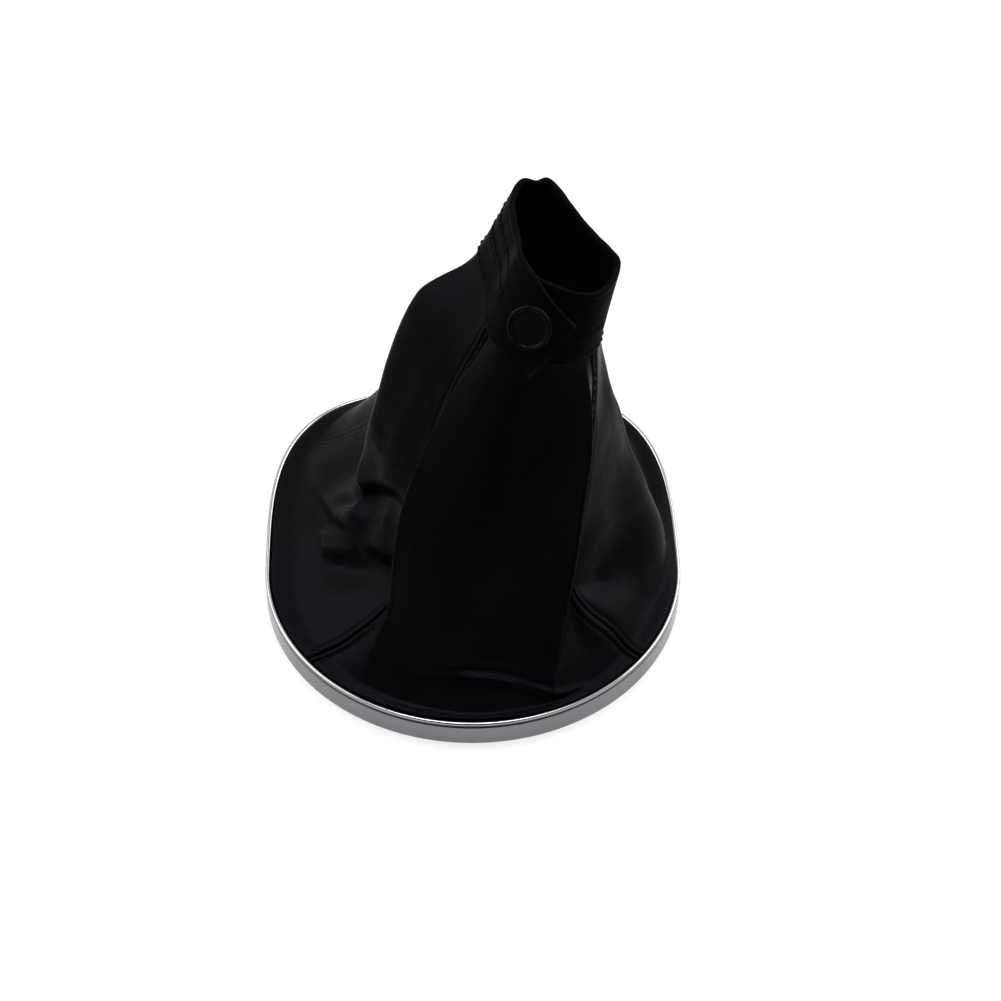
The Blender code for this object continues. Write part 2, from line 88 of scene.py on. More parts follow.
class Graph:
    """A node tree of any kind, built by short calls."""

    def __init__(self, tree: NodeTree) -> None:
        """Takes the tree that the calls add nodes to."""
        self.tree = tree

    def add(self, kind: str, inputs: dict[str | int, Feed] | None = None, **settings: object) -> Node:
        """Adds a node.

        Args:
            kind: The node's type name.
            inputs: Values or output sockets by input name or number.
            settings: The node's own properties.

        Returns:
            The new node.
        """
        node = self.tree.nodes.new(kind)
        for name, value in settings.items():
            setattr(node, name, value)
        for key, value in (inputs or {}).items():
            if isinstance(value, NodeSocket):
                self.feed(value, node.inputs[key])
            else:
                node.inputs[key].default_value = value
        return node

    def feed(self, socket: NodeSocket, target: NodeSocket) -> None:
        """Links an output socket to an input socket."""
        self.tree.links.new(socket, target)

    def place(self, group: NodeTree, inputs: dict[str | int, Feed]) -> Node:
        """The node of a shared shader group with these inputs."""
        return self.add("ShaderNodeGroup", inputs, node_tree=group)

    def math(self, operation: str, first: Feed, second: Feed = 0.0, clamp: bool = False) -> NodeSocket:
        """A Math node's result, kept from 0 to 1 where it is clamped."""
        node = self.add("ShaderNodeMath", {0: first, 1: second}, operation=operation, use_clamp=clamp)
        return node.outputs[0]

    def remap(self, value: Feed, low: float, high: float, start: Feed, end: Feed) -> NodeSocket:
        """A value taken from the range low to high to the range start to end, clamped."""
        node = self.add("ShaderNodeMapRange",
                        {"Value": value, "From Min": low, "From Max": high, "To Min": start, "To Max": end})
        return node.outputs["Result"]

    def tint(self, share: Feed, first: Feed, second: Feed) -> NodeSocket:
        """A colour between two, with this share of the second."""
        node = self.add("ShaderNodeMix", {0: share, 6: first, 7: second}, data_type="RGBA")
        return node.outputs[2]


def group_tree(name: str, inputs: dict[str, str], outputs: dict[str, str],
               kind: str = "ShaderNodeTree") -> tuple[Graph, Node, Node]:
    """A new node group with named inputs and outputs.

    Args:
        name: The group's name.
        inputs: Socket type by name, such as Float.
        outputs: Socket type by name.
        kind: The tree's type.

    Returns:
        The graph, its input node and its output node.
    """
    tree = bpy.data.node_groups.new(name, kind)
    for side, sockets in (("INPUT", inputs), ("OUTPUT", outputs)):
        for title, socket in sockets.items():
            tree.interface.new_socket(title, in_out=side, socket_type=f"NodeSocket{socket}")
    graph = Graph(tree)
    return graph, graph.add("NodeGroupInput"), graph.add("NodeGroupOutput")


def rgba(colour: Colour) -> tuple[float, float, float, float]:
    """A colour with full alpha."""
    return (*colour, 1.0)


class Effects:
    """The shader groups that more than one finish uses, each built once."""

    SWIRL_SCALE = 420.0
    SWIRL_REACH = 0.0007
    DOME_SHARE = 0.22
    CREASE_SHARE = 0.12
    HIGHLIGHT_PATCH_SCALE = 260.0

    def __init__(self) -> None:
        """Builds the groups."""
        self.grain = self._grain()
        self.clouds = self._clouds()
        self.ridge_highlight = self._ridge_highlight()

    def _grain(self) -> NodeTree:
        """Pebbled leather grain: cells with soft valleys, pores and slack creases.

        Returns:
            The group, with a height in metres and a valley mask for painted shade.
        """
        graph, inlet, outlet = group_tree("hide_grain", {
            "Vector": "Vector", "Cell Size": "Float", "Cell Depth": "Float", "Crease Size": "Float",
            "Crease Depth": "Float"}, {"Height": "Float", "Valley": "Float"})
        source = inlet.outputs
        swirl = graph.add("ShaderNodeTexNoise", {"Vector": source["Vector"], "Scale": self.SWIRL_SCALE,
                                                 "Detail": 2.0})
        nudge = graph.add("ShaderNodeVectorMath", {0: swirl.outputs["Color"], 1: (self.SWIRL_REACH,) * 3},
                          operation="MULTIPLY")
        moved = graph.add("ShaderNodeVectorMath", {0: source["Vector"], 1: nudge.outputs[0]}, operation="ADD")
        scale = graph.math("DIVIDE", 1.0, source["Cell Size"])
        cells = graph.add("ShaderNodeTexVoronoi", {"Vector": moved.outputs[0], "Scale": scale},
                          feature="DISTANCE_TO_EDGE")
        dome = graph.remap(cells.outputs["Distance"], 0.0, self.DOME_SHARE, 0.0, 1.0)
        crease_scale = graph.math("DIVIDE", 1.0, source["Crease Size"])
        slack = graph.add("ShaderNodeTexNoise", {"Vector": source["Vector"], "Scale": crease_scale,
                                                 "Detail": 3.0, "Roughness": 0.55, "Distortion": 0.6})
        folded = graph.math("ABSOLUTE", graph.math("SUBTRACT", slack.outputs["Fac"], 0.5))
        crease = graph.remap(folded, 0.0, self.CREASE_SHARE, 0.0, 1.0)
        height = graph.math("ADD", graph.math("MULTIPLY", dome, source["Cell Depth"]),
                            graph.math("MULTIPLY", crease, source["Crease Depth"]))
        graph.feed(height, outlet.inputs["Height"])
        graph.feed(graph.math("SUBTRACT", 1.0, dome), outlet.inputs["Valley"])
        return graph.tree

    def _clouds(self) -> NodeTree:
        """Large soft patches and fine specks that vary a value over a surface.

        Returns:
            The group, with a value between its low and high inputs.
        """
        graph, inlet, outlet = group_tree("cloudy_value", {
            "Vector": "Vector", "Patch Size": "Float", "Low": "Float", "High": "Float"}, {"Value": "Float"})
        source = inlet.outputs
        scale = graph.math("DIVIDE", 1.0, source["Patch Size"])
        patch = graph.add("ShaderNodeTexNoise", {"Vector": source["Vector"], "Scale": scale, "Detail": 4.0})
        value = graph.remap(patch.outputs["Fac"], 0.3, 0.7, source["Low"], source["High"])
        graph.feed(value, outlet.inputs["Value"])
        return graph.tree

    def _ridge_highlight(self) -> NodeTree:
        """A colour painted lighter where a mask says, in uneven patches: a painted highlight.

        Returns:
            The group, with the colour.
        """
        graph, inlet, outlet = group_tree("painted_ridge_highlight", {
            "Vector": "Vector", "Mask": "Float", "Colour": "Color", "Highlight Colour": "Color",
            "Amount": "Float"}, {"Colour": "Color"})
        source = inlet.outputs
        uneven = graph.add("ShaderNodeTexNoise", {"Vector": source["Vector"], "Scale": self.HIGHLIGHT_PATCH_SCALE,
                                                  "Detail": 5.0})
        patch = graph.remap(uneven.outputs["Fac"], 0.35, 0.65, 0.25, 1.0)
        # Painted highlight: the mask's share of the lighter colour, in patches.
        share = graph.math("MULTIPLY", graph.math("MULTIPLY", source["Mask"], patch), source["Amount"], True)
        graph.feed(graph.tint(share, source["Colour"], source["Highlight Colour"]), outlet.inputs["Colour"])
        return graph.tree


@dataclass(frozen=True)
class Surface:
    """A material under construction.

    Attributes:
        material: The material.
        graph: Its node tree.
        shader: Its Principled node.
        place: The Object coordinates.
        patches: A value that drifts from the finish's lowest to its highest roughness.
        effects: The shared shader groups.
    """

    material: Material
    graph: Graph
    shader: Node
    place: NodeSocket
    patches: NodeSocket
    effects: Effects

    def feed(self, socket: NodeSocket, name: str) -> None:
        """Links an output socket to one of the shader's inputs."""
        self.graph.feed(socket, self.shader.inputs[name])

    def bump(self, height: NodeSocket, depth: float = 1.0) -> None:
        """Feeds a height to the shader's normal.

        Args:
            height: The height's socket.
            depth: How many metres a height of 1 stands for.
        """
        metres = self.graph.math("MULTIPLY", height, depth)
        node = self.graph.add("ShaderNodeBump", {"Height": metres, "Distance": 1.0, "Strength": 1.0})
        self.feed(node.outputs["Normal"], "Normal")


@dataclass(frozen=True)
class Finish:
    """A finish that every piece of one kind wears.

    Attributes:
        name: The material's name.
        colour: The base colour.
        roughness: The lowest and the highest roughness.
        metallic: 1 for metal.
        specular: The specular level, 0.5 for a usual surface.
        gloss_tint: The colour of its gloss.
        patch_size: The size of the patches of roughness.
    """

    name: str
    colour: Colour
    roughness: tuple[float, float]
    metallic: float = 0.0
    specular: float = 0.5
    gloss_tint: Colour = (1.0, 1.0, 1.0)
    patch_size: float = 0.03

    MOULDED_SCALE = 2600.0
    MOULDED_DEPTH = 0.00003

    def start(self, effects: Effects) -> Surface:
        """Begins the material with its shader and its uneven roughness.

        Args:
            effects: The shared shader groups.

        Returns:
            The material under construction.
        """
        made = bpy.data.materials.new(self.name)
        made.use_nodes = True
        graph = Graph(made.node_tree)
        shader = made.node_tree.nodes["Principled BSDF"]
        shader.inputs["Base Color"].default_value = rgba(self.colour)
        shader.inputs["Metallic"].default_value = self.metallic
        shader.inputs["Specular IOR Level"].default_value = self.specular
        shader.inputs["Specular Tint"].default_value = rgba(self.gloss_tint)
        place = graph.add("ShaderNodeTexCoord").outputs["Object"]
        clouds = graph.place(effects.clouds, {
            "Vector": place, "Patch Size": self.patch_size,
            "Low": self.roughness[0], "High": self.roughness[1]})
        surface = Surface(made, graph, shader, place, clouds.outputs["Value"], effects)
        surface.feed(surface.patches, "Roughness")
        return surface

    def build(self, effects: Effects) -> Material:
        """The finish's material.

        Args:
            effects: The shared shader groups.

        Returns:
            The material.
        """
        surface = self.start(effects)
        self.texture(surface)
        return surface.material

    def texture(self, surface: Surface) -> None:
        """Adds a fine moulded grain.

        Args:
            surface: The material under construction.
        """
        fine = surface.graph.add("ShaderNodeTexNoise", {"Vector": surface.place, "Scale": self.MOULDED_SCALE,
                                                        "Detail": 2.0})
        surface.bump(fine.outputs["Fac"], self.MOULDED_DEPTH)


@dataclass(frozen=True)
class HideFinish(Finish):
    """Dressed satin leather: pebbled grain with painted shade in its valleys, slack creases, and a painted
    highlight on its sharp ridges.

    Attributes:
        ridge_highlight_colour: The colour of the painted highlight on the ridges.
        ridge_highlight_share: How far a sharp ridge takes that painted highlight.
        cell_size: How wide a pebble of the grain is.
        cell_depth: How deep the valleys between pebbles are.
        crease_size: How far apart the slack creases are.
        crease_depth: How deep they are.
        valley_share: How far a valley takes its painted shade.
        valley_shade: The valleys' painted shade as a share of the base colour.
    """

    gloss_tint: Colour = (0.76, 0.87, 1.0)
    ridge_highlight_colour: Colour = (0.003, 0.003, 0.0042)
    ridge_highlight_share: float = 0.8
    cell_size: float = 0.0009
    cell_depth: float = 0.00002
    crease_size: float = 0.008
    crease_depth: float = 0.00003
    valley_share: float = 0.5
    valley_shade: float = 0.5

    def texture(self, surface: Surface) -> None:
        """Adds the painted highlight on the ridges, the painted shade in the valleys and the grain.

        Args:
            surface: The material under construction.
        """
        graph = surface.graph
        ridge = graph.add("ShaderNodeAttribute", attribute_name=Field.RIDGE.value)
        # Painted highlight: sharp ridges take a lighter colour.
        ridge_highlight = graph.place(surface.effects.ridge_highlight, {
            "Vector": surface.place, "Mask": ridge.outputs["Fac"], "Colour": rgba(self.colour),
            "Highlight Colour": rgba(self.ridge_highlight_colour), "Amount": self.ridge_highlight_share})
        grain = graph.place(surface.effects.grain, {
            "Vector": surface.place, "Cell Size": self.cell_size, "Cell Depth": self.cell_depth,
            "Crease Size": self.crease_size, "Crease Depth": self.crease_depth})
        # Painted shade: the grain's valleys take a darker colour.
        valley = graph.math("MULTIPLY", grain.outputs["Valley"], self.valley_share)
        shade = rgba(tuple(channel * self.valley_shade for channel in self.colour))
        surface.feed(graph.tint(valley, ridge_highlight.outputs["Colour"], shade), "Base Color")
        surface.bump(grain.outputs["Height"])


@dataclass(frozen=True)
class FleshFinish(Finish):
    """The leather's napped back.

    Attributes:
        nap_colour: The colour of the nap's light fibres.
        nap_scale: How fine the nap is.
        nap_depth: How deep the nap is.
    """

    nap_colour: Colour = (0.012, 0.012, 0.013)
    nap_scale: float = 1500.0
    nap_depth: float = 0.00012

    def texture(self, surface: Surface) -> None:
        """Adds the nap.

        Args:
            surface: The material under construction.
        """
        nap = surface.graph.add("ShaderNodeTexNoise", {
            "Vector": surface.place, "Scale": self.nap_scale, "Detail": 6.0, "Roughness": 0.7})
        colour = surface.graph.tint(nap.outputs["Fac"], rgba(self.colour), rgba(self.nap_colour))
        surface.feed(colour, "Base Color")
        surface.bump(nap.outputs["Fac"], self.nap_depth)


@dataclass(frozen=True)
class PlatingFinish(Finish):
    """Plated metal whose tone the mesh carries: a polished bead, a groove painted black as shade and a satin
    wall painted darker as shade.

    Attributes:
        stain_colour: The colour of the faint stains in the patches.
        dullness: How much rougher than polished the darkest tone is.
        polish: How much of that roughness a white tone takes away.
    """

    stain_colour: Colour = (0.1, 0.1, 0.105)
    dullness: float = 0.2
    polish: float = 0.28

    def texture(self, surface: Surface) -> None:
        """Adds the tones' colour, painted shade among them, and polish.

        Args:
            surface: The material under construction.
        """
        graph = surface.graph
        tone = graph.add("ShaderNodeAttribute", attribute_name=Field.PLATING.value)
        # The darker wall and the black groove in these tones are painted shade.
        stained = graph.tint(surface.patches, tone.outputs["Color"], rgba(self.stain_colour))
        surface.feed(stained, "Base Color")
        polish = graph.math("MULTIPLY", tone.outputs["Fac"], self.polish)
        rough = graph.math("SUBTRACT", graph.math("ADD", surface.patches, self.dullness), polish, True)
        surface.feed(rough, "Roughness")


@dataclass(frozen=True)
class ThreadFinish(Finish):
    """Twisted sewing thread: fine slanting strands.

    Attributes:
        strand_size: How wide a strand is.
        strand_depth: How deep the valleys between strands are.
    """

    strand_size: float = 0.00035
    strand_depth: float = 0.00006

    BANDS_IN_SCALE = 20.0

    def texture(self, surface: Surface) -> None:
        """Adds the strands.

        Args:
            surface: The material under construction.
        """
        scale = 1.0 / self.strand_size / self.BANDS_IN_SCALE
        strand = surface.graph.add("ShaderNodeTexWave",
                                   {"Vector": surface.place, "Scale": scale, "Distortion": 1.5},
                                   wave_type="BANDS", bands_direction="DIAGONAL")
        surface.bump(strand.outputs["Fac"], self.strand_depth)


class Wardrobe:
    """Every finish of the object, built once."""

    LEATHER = HideFinish("satin_hide", (0.0008, 0.0009, 0.0013), (0.33, 0.45), specular=0.035)
    COLLAR_LEATHER = HideFinish("collar_hide", (0.0016, 0.0017, 0.0022), (0.48, 0.62), specular=0.016)
    FLESH = FleshFinish("hide_back", (0.010, 0.010, 0.011), (0.85, 0.98), specular=0.04)
    THREAD = ThreadFinish("sewing_thread", (0.0012, 0.0012, 0.0017), (0.5, 0.65), specular=0.05)
    PLATING = PlatingFinish("ring_plating", (0.5, 0.5, 0.52), (0.0, 0.12), metallic=1.0, patch_size=0.012)
    PLASTIC = Finish("frame_moulding", (0.02, 0.02, 0.021), (0.45, 0.6), specular=0.4)
    ENAMEL = Finish("stud_enamel", (0.002, 0.002, 0.0026), (0.1, 0.18), specular=0.03, patch_size=0.006)
    STEEL = Finish("stud_nickel", (0.42, 0.42, 0.43), (0.25, 0.45), metallic=1.0, patch_size=0.004)

    def __init__(self) -> None:
        """Builds the material of every finish above."""
        effects = Effects()
        finishes = [value for value in vars(Wardrobe).values() if isinstance(value, Finish)]
        self.materials = {finish.name: finish.build(effects) for finish in finishes}

    def of(self, finish: Finish) -> Material:
        """The material of a finish."""
        return self.materials[finish.name]

    def dress_node(self, node: str, finish: Finish) -> None:
        """Gives a carried CAD node its finish."""
        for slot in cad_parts[node].material_slots:
            slot.material = self.of(finish)


# Curves and surfaces


def unit(vectors: Points) -> Points:
    """The vectors at length 1."""
    return vectors / np.maximum(np.linalg.norm(vectors, axis=-1, keepdims=True), 1e-12)


def ease(value: np.ndarray) -> np.ndarray:
    """0 up to 0, 1 from 1, and a smooth step between them."""
    value = np.clip(value, 0.0, 1.0)
    return value * value * (3.0 - 2.0 * value)


def hermite(start: np.ndarray, end: np.ndarray, start_slope: np.ndarray, end_slope: np.ndarray,
            share: np.ndarray) -> np.ndarray:
    """A smooth curve between two values.

    Args:
        start: The value at share 0.
        end: The value at share 1.
        start_slope: The slope at share 0.
        end_slope: The slope at share 1.
        share: Where on the curve.

    Returns:
        The value there.
    """
    squared = share * share
    cubed = squared * share
    return (start * (2 * cubed - 3 * squared + 1) + start_slope * (cubed - 2 * squared + share)
            + end * (3 * squared - 2 * cubed) + end_slope * (cubed - squared))


@dataclass(frozen=True)
class RingOutline:
    """The trim ring's outline in plan, rounder at the front than at the back.

    Attributes:
        width: Its size along X.
        length: Its size along Y.
        widest_y: Where along Y it is widest.
        front_roundness: The power of the front half's curve.
        back_roundness: The power of the back half's curve.
    """

    width: float = 0.125
    length: float = 0.130
    widest_y: float = -0.00675
    front_roundness: float = 2.0
    back_roundness: float = 3.3

    def edge(self, bearing: np.ndarray, inset: float) -> Points:
        """Points in plan on the outline, moved in square to it.

        Args:
            bearing: Their bearings.
            inset: How far in.

        Returns:
            The points' x and y.
        """
        angle = np.radians(np.asarray(bearing, float))
        across, along = np.cos(angle), np.sin(angle)
        back = along >= 0
        half_length = np.where(back, self.length / 2 - self.widest_y, self.length / 2 + self.widest_y)
        power = np.where(back, self.back_roundness, self.front_roundness)
        half_width = self.width / 2
        reach = (np.abs(across / half_width) ** power + np.abs(along / half_length) ** power) ** (-1 / power)
        x, y = reach * across, reach * along
        slope_x = np.copysign(np.abs(x / half_width) ** (power - 1) / half_width, x)
        slope_y = np.copysign(np.abs(y / half_length) ** (power - 1) / half_length, y)
        outward = unit(np.stack([slope_x, slope_y], -1))
        return np.stack([x, y + self.widest_y], -1) - outward * inset

    def level_line(self, bearing: np.ndarray, inset: float, height: float) -> Points:
        """Points in space on the outline, moved in and at a height."""
        return np.concatenate([self.edge(bearing, inset), np.full((len(bearing), 1), height)], 1)

    def bearing_of(self, points: Points) -> np.ndarray:
        """The bearings of points from the outline's own centre."""
        return np.degrees(np.arctan2(points[..., 1] - self.widest_y, points[..., 0]))


@dataclass(frozen=True)
class Loop:
    """A sloping loop round the neck.

    Attributes:
        centre: Its centre.
        size: What its reach is a share of.
        outline: Bearing from the centre and reach, as a share of the size, of points on it.
        slope_x: How much it rises for each metre along X.
        slope_y: How much it rises for each metre along Y.
    """

    centre: tuple[float, float, float]
    size: float
    outline: tuple[tuple[float, float], ...]
    slope_x: float = -0.26
    slope_y: float = 0.05

    def reach(self, bearing: np.ndarray) -> np.ndarray:
        """The reach at any bearing, as a smooth closed curve.

        Args:
            bearing: The bearings.

        Returns:
            The reach as a share of the size.
        """
        table = np.array(sorted((angle % 360, reach) for angle, reach in self.outline))
        table = np.concatenate([table[-2:] - (360, 0), table, table[:2] + (360, 0)])
        turned = np.asarray(bearing, float) % 360
        low = np.searchsorted(table[:, 0], turned, side="right") - 1
        angle, value = table[:, 0], table[:, 1]
        span = angle[low + 1] - angle[low]
        low_slope = (value[low + 1] - value[low - 1]) / (angle[low + 1] - angle[low - 1]) * span
        high_slope = (value[low + 2] - value[low]) / (angle[low + 2] - angle[low]) * span
        return hermite(value[low], value[low + 1], low_slope, high_slope, (turned - angle[low]) / span)

    def points(self, bearing: np.ndarray) -> Points:
        """Points of the loop at these bearings."""
        reach = self.reach(bearing) * self.size
        angle = np.radians(bearing)
        x, y = reach * np.cos(angle), reach * np.sin(angle)
        return np.stack([x, y, self.slope_x * x + self.slope_y * y], -1) + np.array(self.centre)


RING = RingOutline()
NECK = Loop((0.0200, 0.01325, 0.1030), 0.0230, (
    (-173, 0.69), (-144, 0.775), (-122, 0.95), (-101, 1.03), (-77, 1.0), (-48, 0.90), (-20, 0.70),
    (10, 0.62), (52, 0.70), (90, 0.96), (115, 1.07), (142, 0.97), (162, 0.79)))
MOUTH = Loop((0.0254, 0.01845, 0.1220), 0.0215, (
    (-154, 0.59), (-126, 0.70), (-105, 0.86), (-88, 0.93), (-72, 0.955), (-58, 0.915), (-43, 0.85),
    (-27, 0.79), (-14, 0.735), (-4, 0.62), (17, 0.48), (52, 0.46), (79, 0.605), (90, 0.78), (100, 0.96),
    (110, 0.93), (119, 1.01), (140, 0.82), (163, 0.65)))

# The clearance between touching pieces, and the leather's and the ring wall's thickness
FIT = 0.0003
LEATHER = 0.0011
RING_WALL = 0.0022

# Where the leather passes the ring: its inset, the height it hangs from, and how much further in it starts
LEATHER_INSET = RING_WALL + FIT
REST_Z = 0.0078
SHOULDER = 0.0010

# The hem under the frame: how high it lies and how wide it is
HEM_LIFT = 0.0006
HEM_WIDTH = 0.0065


@dataclass(frozen=True)
class Fold:
    """A line up the leather from the ring to the neck.

    Attributes:
        name: What the line is.
        ring_bearing: Its bearing at the ring.
        neck_bearing: Its bearing at the neck.
        stages: Bearing, share of the way out from neck to ring, and share of the rise.
        breaks: How sharply the line itself turns at each stage.
        crease: 1 for a sharp fold across the line, 0 for a soft one.
    """

    name: str
    ring_bearing: float
    neck_bearing: float
    stages: tuple[tuple[float, float, float], ...]
    breaks: tuple[float, ...] = (0.0, 0.0, 0.0, 0.0)
    crease: float = 0.0


TOE = (0.6, 0.0, 0.0, 0.0)
TIP = (0.2, 0.8, 0.0, 0.0)
FOLDS = (
    Fold("front_middle", -90, -92,
         ((-90, 0.83, 0.06), (-91, 0.67, 0.21), (-91, 0.42, 0.50), (-91, 0.13, 0.82)), TOE),
    Fold("front_right_face", -77, -76,
         ((-77, 0.85, 0.05), (-76, 0.68, 0.22), (-74, 0.43, 0.51), (-71, 0.15, 0.84)), TOE),
    Fold("front_right_edge", -66, -60,
         ((-67, 0.93, 0.05), (-65, 0.73, 0.22), (-59, 0.46, 0.52), (-53, 0.20, 0.85)), TOE, 0.85),
    Fold("front_right_pocket", -52, -53,
         ((-55, 0.87, 0.05), (-65, 0.54, 0.20), (-64, 0.30, 0.51), (-53, 0.10, 0.85)), TOE),
    Fold("front_right_seam", -36, -49,
         ((-44, 0.80, 0.08), (-61, 0.50, 0.22), (-58, 0.23, 0.52), (-48, 0.06, 0.85))),
    Fold("right_face", -17, -28,
         ((-23, 0.75, 0.07), (-33, 0.42, 0.22), (-38, 0.20, 0.52), (-32, 0.04, 0.86))),
    Fold("right_ridge", 2, -8,
         ((4, 0.93, 0.12), (3, 0.71, 0.29), (-1, 0.40, 0.52), (-8, 0.10, 0.85)), crease=0.6),
    Fold("right_valley", 26, 22,
         ((25, 0.64, 0.07), (21, 0.36, 0.21), (18, 0.16, 0.52), (18, 0.04, 0.85))),
    Fold("rear_right_seam", 48, 50,
         ((48, 0.82, 0.07), (48, 0.56, 0.22), (48, 0.26, 0.52), (48, 0.05, 0.85))),
    Fold("rear_right_ridge", 70, 78,
         ((70, 0.88, 0.10), (71, 0.68, 0.27), (74, 0.40, 0.55), (76, 0.15, 0.85)), crease=0.3),
    Fold("rear_valley", 90, 98,
         ((90, 0.80, 0.06), (92, 0.50, 0.20), (95, 0.22, 0.50), (97, 0.05, 0.84))),
    Fold("rear_left_ridge", 112, 116,
         ((112, 0.90, 0.11), (113, 0.70, 0.28), (115, 0.44, 0.56), (116, 0.18, 0.84)), crease=0.3),
    Fold("rear_left_seam", 136, 130,
         ((136, 0.80, 0.06), (136, 0.56, 0.20), (134, 0.34, 0.48), (131, 0.12, 0.82))),
    Fold("left_valley", 156, 137,
         ((156, 0.80, 0.06), (156, 0.52, 0.18), (153, 0.38, 0.44), (144, 0.22, 0.77))),
    Fold("left_ridge", 173, 148,
         ((177, 0.76, 0.08), (179, 0.615, 0.27), (172, 0.51, 0.56), (151, 0.29, 0.87)), TIP, 0.6),
    Fold("left_face", 194, 180,
         ((191, 0.82, 0.05), (194, 0.58, 0.18), (190, 0.48, 0.48), (182, 0.27, 0.78))),
    Fold("front_left_seam", 214, 216,
         ((220, 0.85, 0.06), (225, 0.62, 0.18), (218, 0.42, 0.45), (212, 0.21, 0.75))),
    Fold("front_left_edge", 232, 223,
         ((230, 0.88, 0.07), (230, 0.73, 0.22), (222, 0.55, 0.48), (215, 0.25, 0.76)), TOE, 0.85),
    Fold("front_left_face", 250, 245,
         ((250, 0.84, 0.06), (250, 0.72, 0.22), (249, 0.47, 0.49), (247, 0.18, 0.80)), TOE),
)
FOLD_NAMES = [fold.name for fold in FOLDS]


class FoldRule:
    """The folded leather's outer face as a smooth rule over two numbers.

    The first number counts fold lines round the body, and the second counts stages up them, from 0 at
    the ring to 5 at the neck. Between lines and stages the face runs in smooth curves, which turn
    sharply where a fold says so.
    """

    STAGES = 5
    TURN_RADIUS = NECK.size * 2
    OUT_LENGTH = RING.width / 3

    def __init__(self) -> None:
        """Lays the fold lines' stages out as unrolled lengths."""
        places = []
        for fold in FOLDS:
            stages = [(fold.ring_bearing, 1.0, 0.0), *fold.stages, (fold.neck_bearing, 0.0, 1.0)]
            places.append([self.unrolled(*stage) for stage in stages])
        self.places = np.array(places)
        before = np.concatenate([self.places[:, :1], self.places[:, :-1]], 1)
        after = np.concatenate([self.places[:, 1:], self.places[:, -1:]], 1)
        self.headings = unit(after - before)
        self.softness = np.array([[1.0, *(1.0 - turn for turn in fold.breaks), 1.0] for fold in FOLDS])
        self.creases = np.array([fold.crease for fold in FOLDS])
        self.turn = np.array([math.radians(360) * self.TURN_RADIUS, 0.0, 0.0])

    def unrolled(self, bearing: float, out: float, rise: float) -> list[float]:
        """Bearing and shares as lengths, so that a curve runs evenly through them."""
        return [math.radians(bearing) * self.TURN_RADIUS, out * self.OUT_LENGTH, rise * NECK.centre[2]]

    def on_line(self, line: np.ndarray, level: np.ndarray) -> Points:
        """Unrolled places on fold lines.

        Args:
            line: Whole line numbers, of any turn.
            level: The levels on them.

        Returns:
            The places.
        """
        count = len(FOLDS)
        index, turns = line % count, line // count
        stage = np.minimum(level.astype(int), self.STAGES - 1)
        share = (level - stage)[..., None]
        start, end = self.places[index, stage], self.places[index, stage + 1]
        length = np.linalg.norm(end - start, axis=-1, keepdims=True)
        start_slope = self.headings[index, stage] * length * self.softness[index, stage][..., None]
        end_slope = self.headings[index, stage + 1] * length * self.softness[index, stage + 1][..., None]
        return hermite(start, end, start_slope, end_slope, share) + self.turn * turns[..., None]

    def points(self, column: np.ndarray, level: np.ndarray) -> Points:
        """Points of the leather's outer face.

        Args:
            column: Fold line numbers with shares between them.
            level: The levels, from 0 to 5.

        Returns:
            The points.
        """
        column, level = np.broadcast_arrays(np.asarray(column, float), np.asarray(level, float))
        line = np.floor(column).astype(int)
        share = (column - line)[..., None]
        before, start, end, after = (self.on_line(line + step, level) for step in (-1, 0, 1, 2))
        length = np.linalg.norm(end - start, axis=-1, keepdims=True)
        softness = 1.0 - self.creases
        start_slope = unit(end - before) * length * softness[line % len(FOLDS)][..., None]
        end_slope = unit(after - start) * length * softness[(line + 1) % len(FOLDS)][..., None]
        place = hermite(start, end, start_slope, end_slope, share)
        bearing = np.degrees(place[..., 0] / self.TURN_RADIUS)
        out, rise = place[..., 1:2] / self.OUT_LENGTH, place[..., 2] / NECK.centre[2]
        top = NECK.points(bearing)
        foot = RING.edge(bearing, LEATHER_INSET + SHOULDER)
        plan = top[..., :2] + (foot - top[..., :2]) * out
        height = REST_Z + (top[..., 2] - REST_Z) * rise
        return np.concatenate([plan, height[..., None]], -1)


def grid_normals(grid: Points, closed: bool = True) -> Points:
    """Outward normals of a grid of points, levels by columns.

    Args:
        grid: The points.
        closed: Whether the columns close round.

    Returns:
        The normals.
    """
    if closed:
        along = np.roll(grid, -1, 1) - np.roll(grid, 1, 1)
    else:
        along = np.gradient(grid, axis=1)
    upward = np.gradient(grid, axis=0)
    return unit(np.cross(along, upward))


def blurred(values: np.ndarray, passes: int, closed: bool = True) -> np.ndarray:
    """A grid of values, each moved towards its neighbours.

    Args:
        values: The values, levels by columns.
        passes: How many times.
        closed: Whether the columns close round.

    Returns:
        The softer grid.
    """
    for _ in range(passes):
        padded = np.concatenate([values[:1], values, values[-1:]], 0)
        values = (padded[:-2] + 2 * padded[1:-1] + padded[2:]) / 4
        if closed:
            left, right = np.roll(values, 1, 1), np.roll(values, -1, 1)
        else:
            left = np.concatenate([values[:, :1], values[:, :-1]], 1)
            right = np.concatenate([values[:, 1:], values[:, -1:]], 1)
        values = (left + 2 * values + right) / 4
    return values


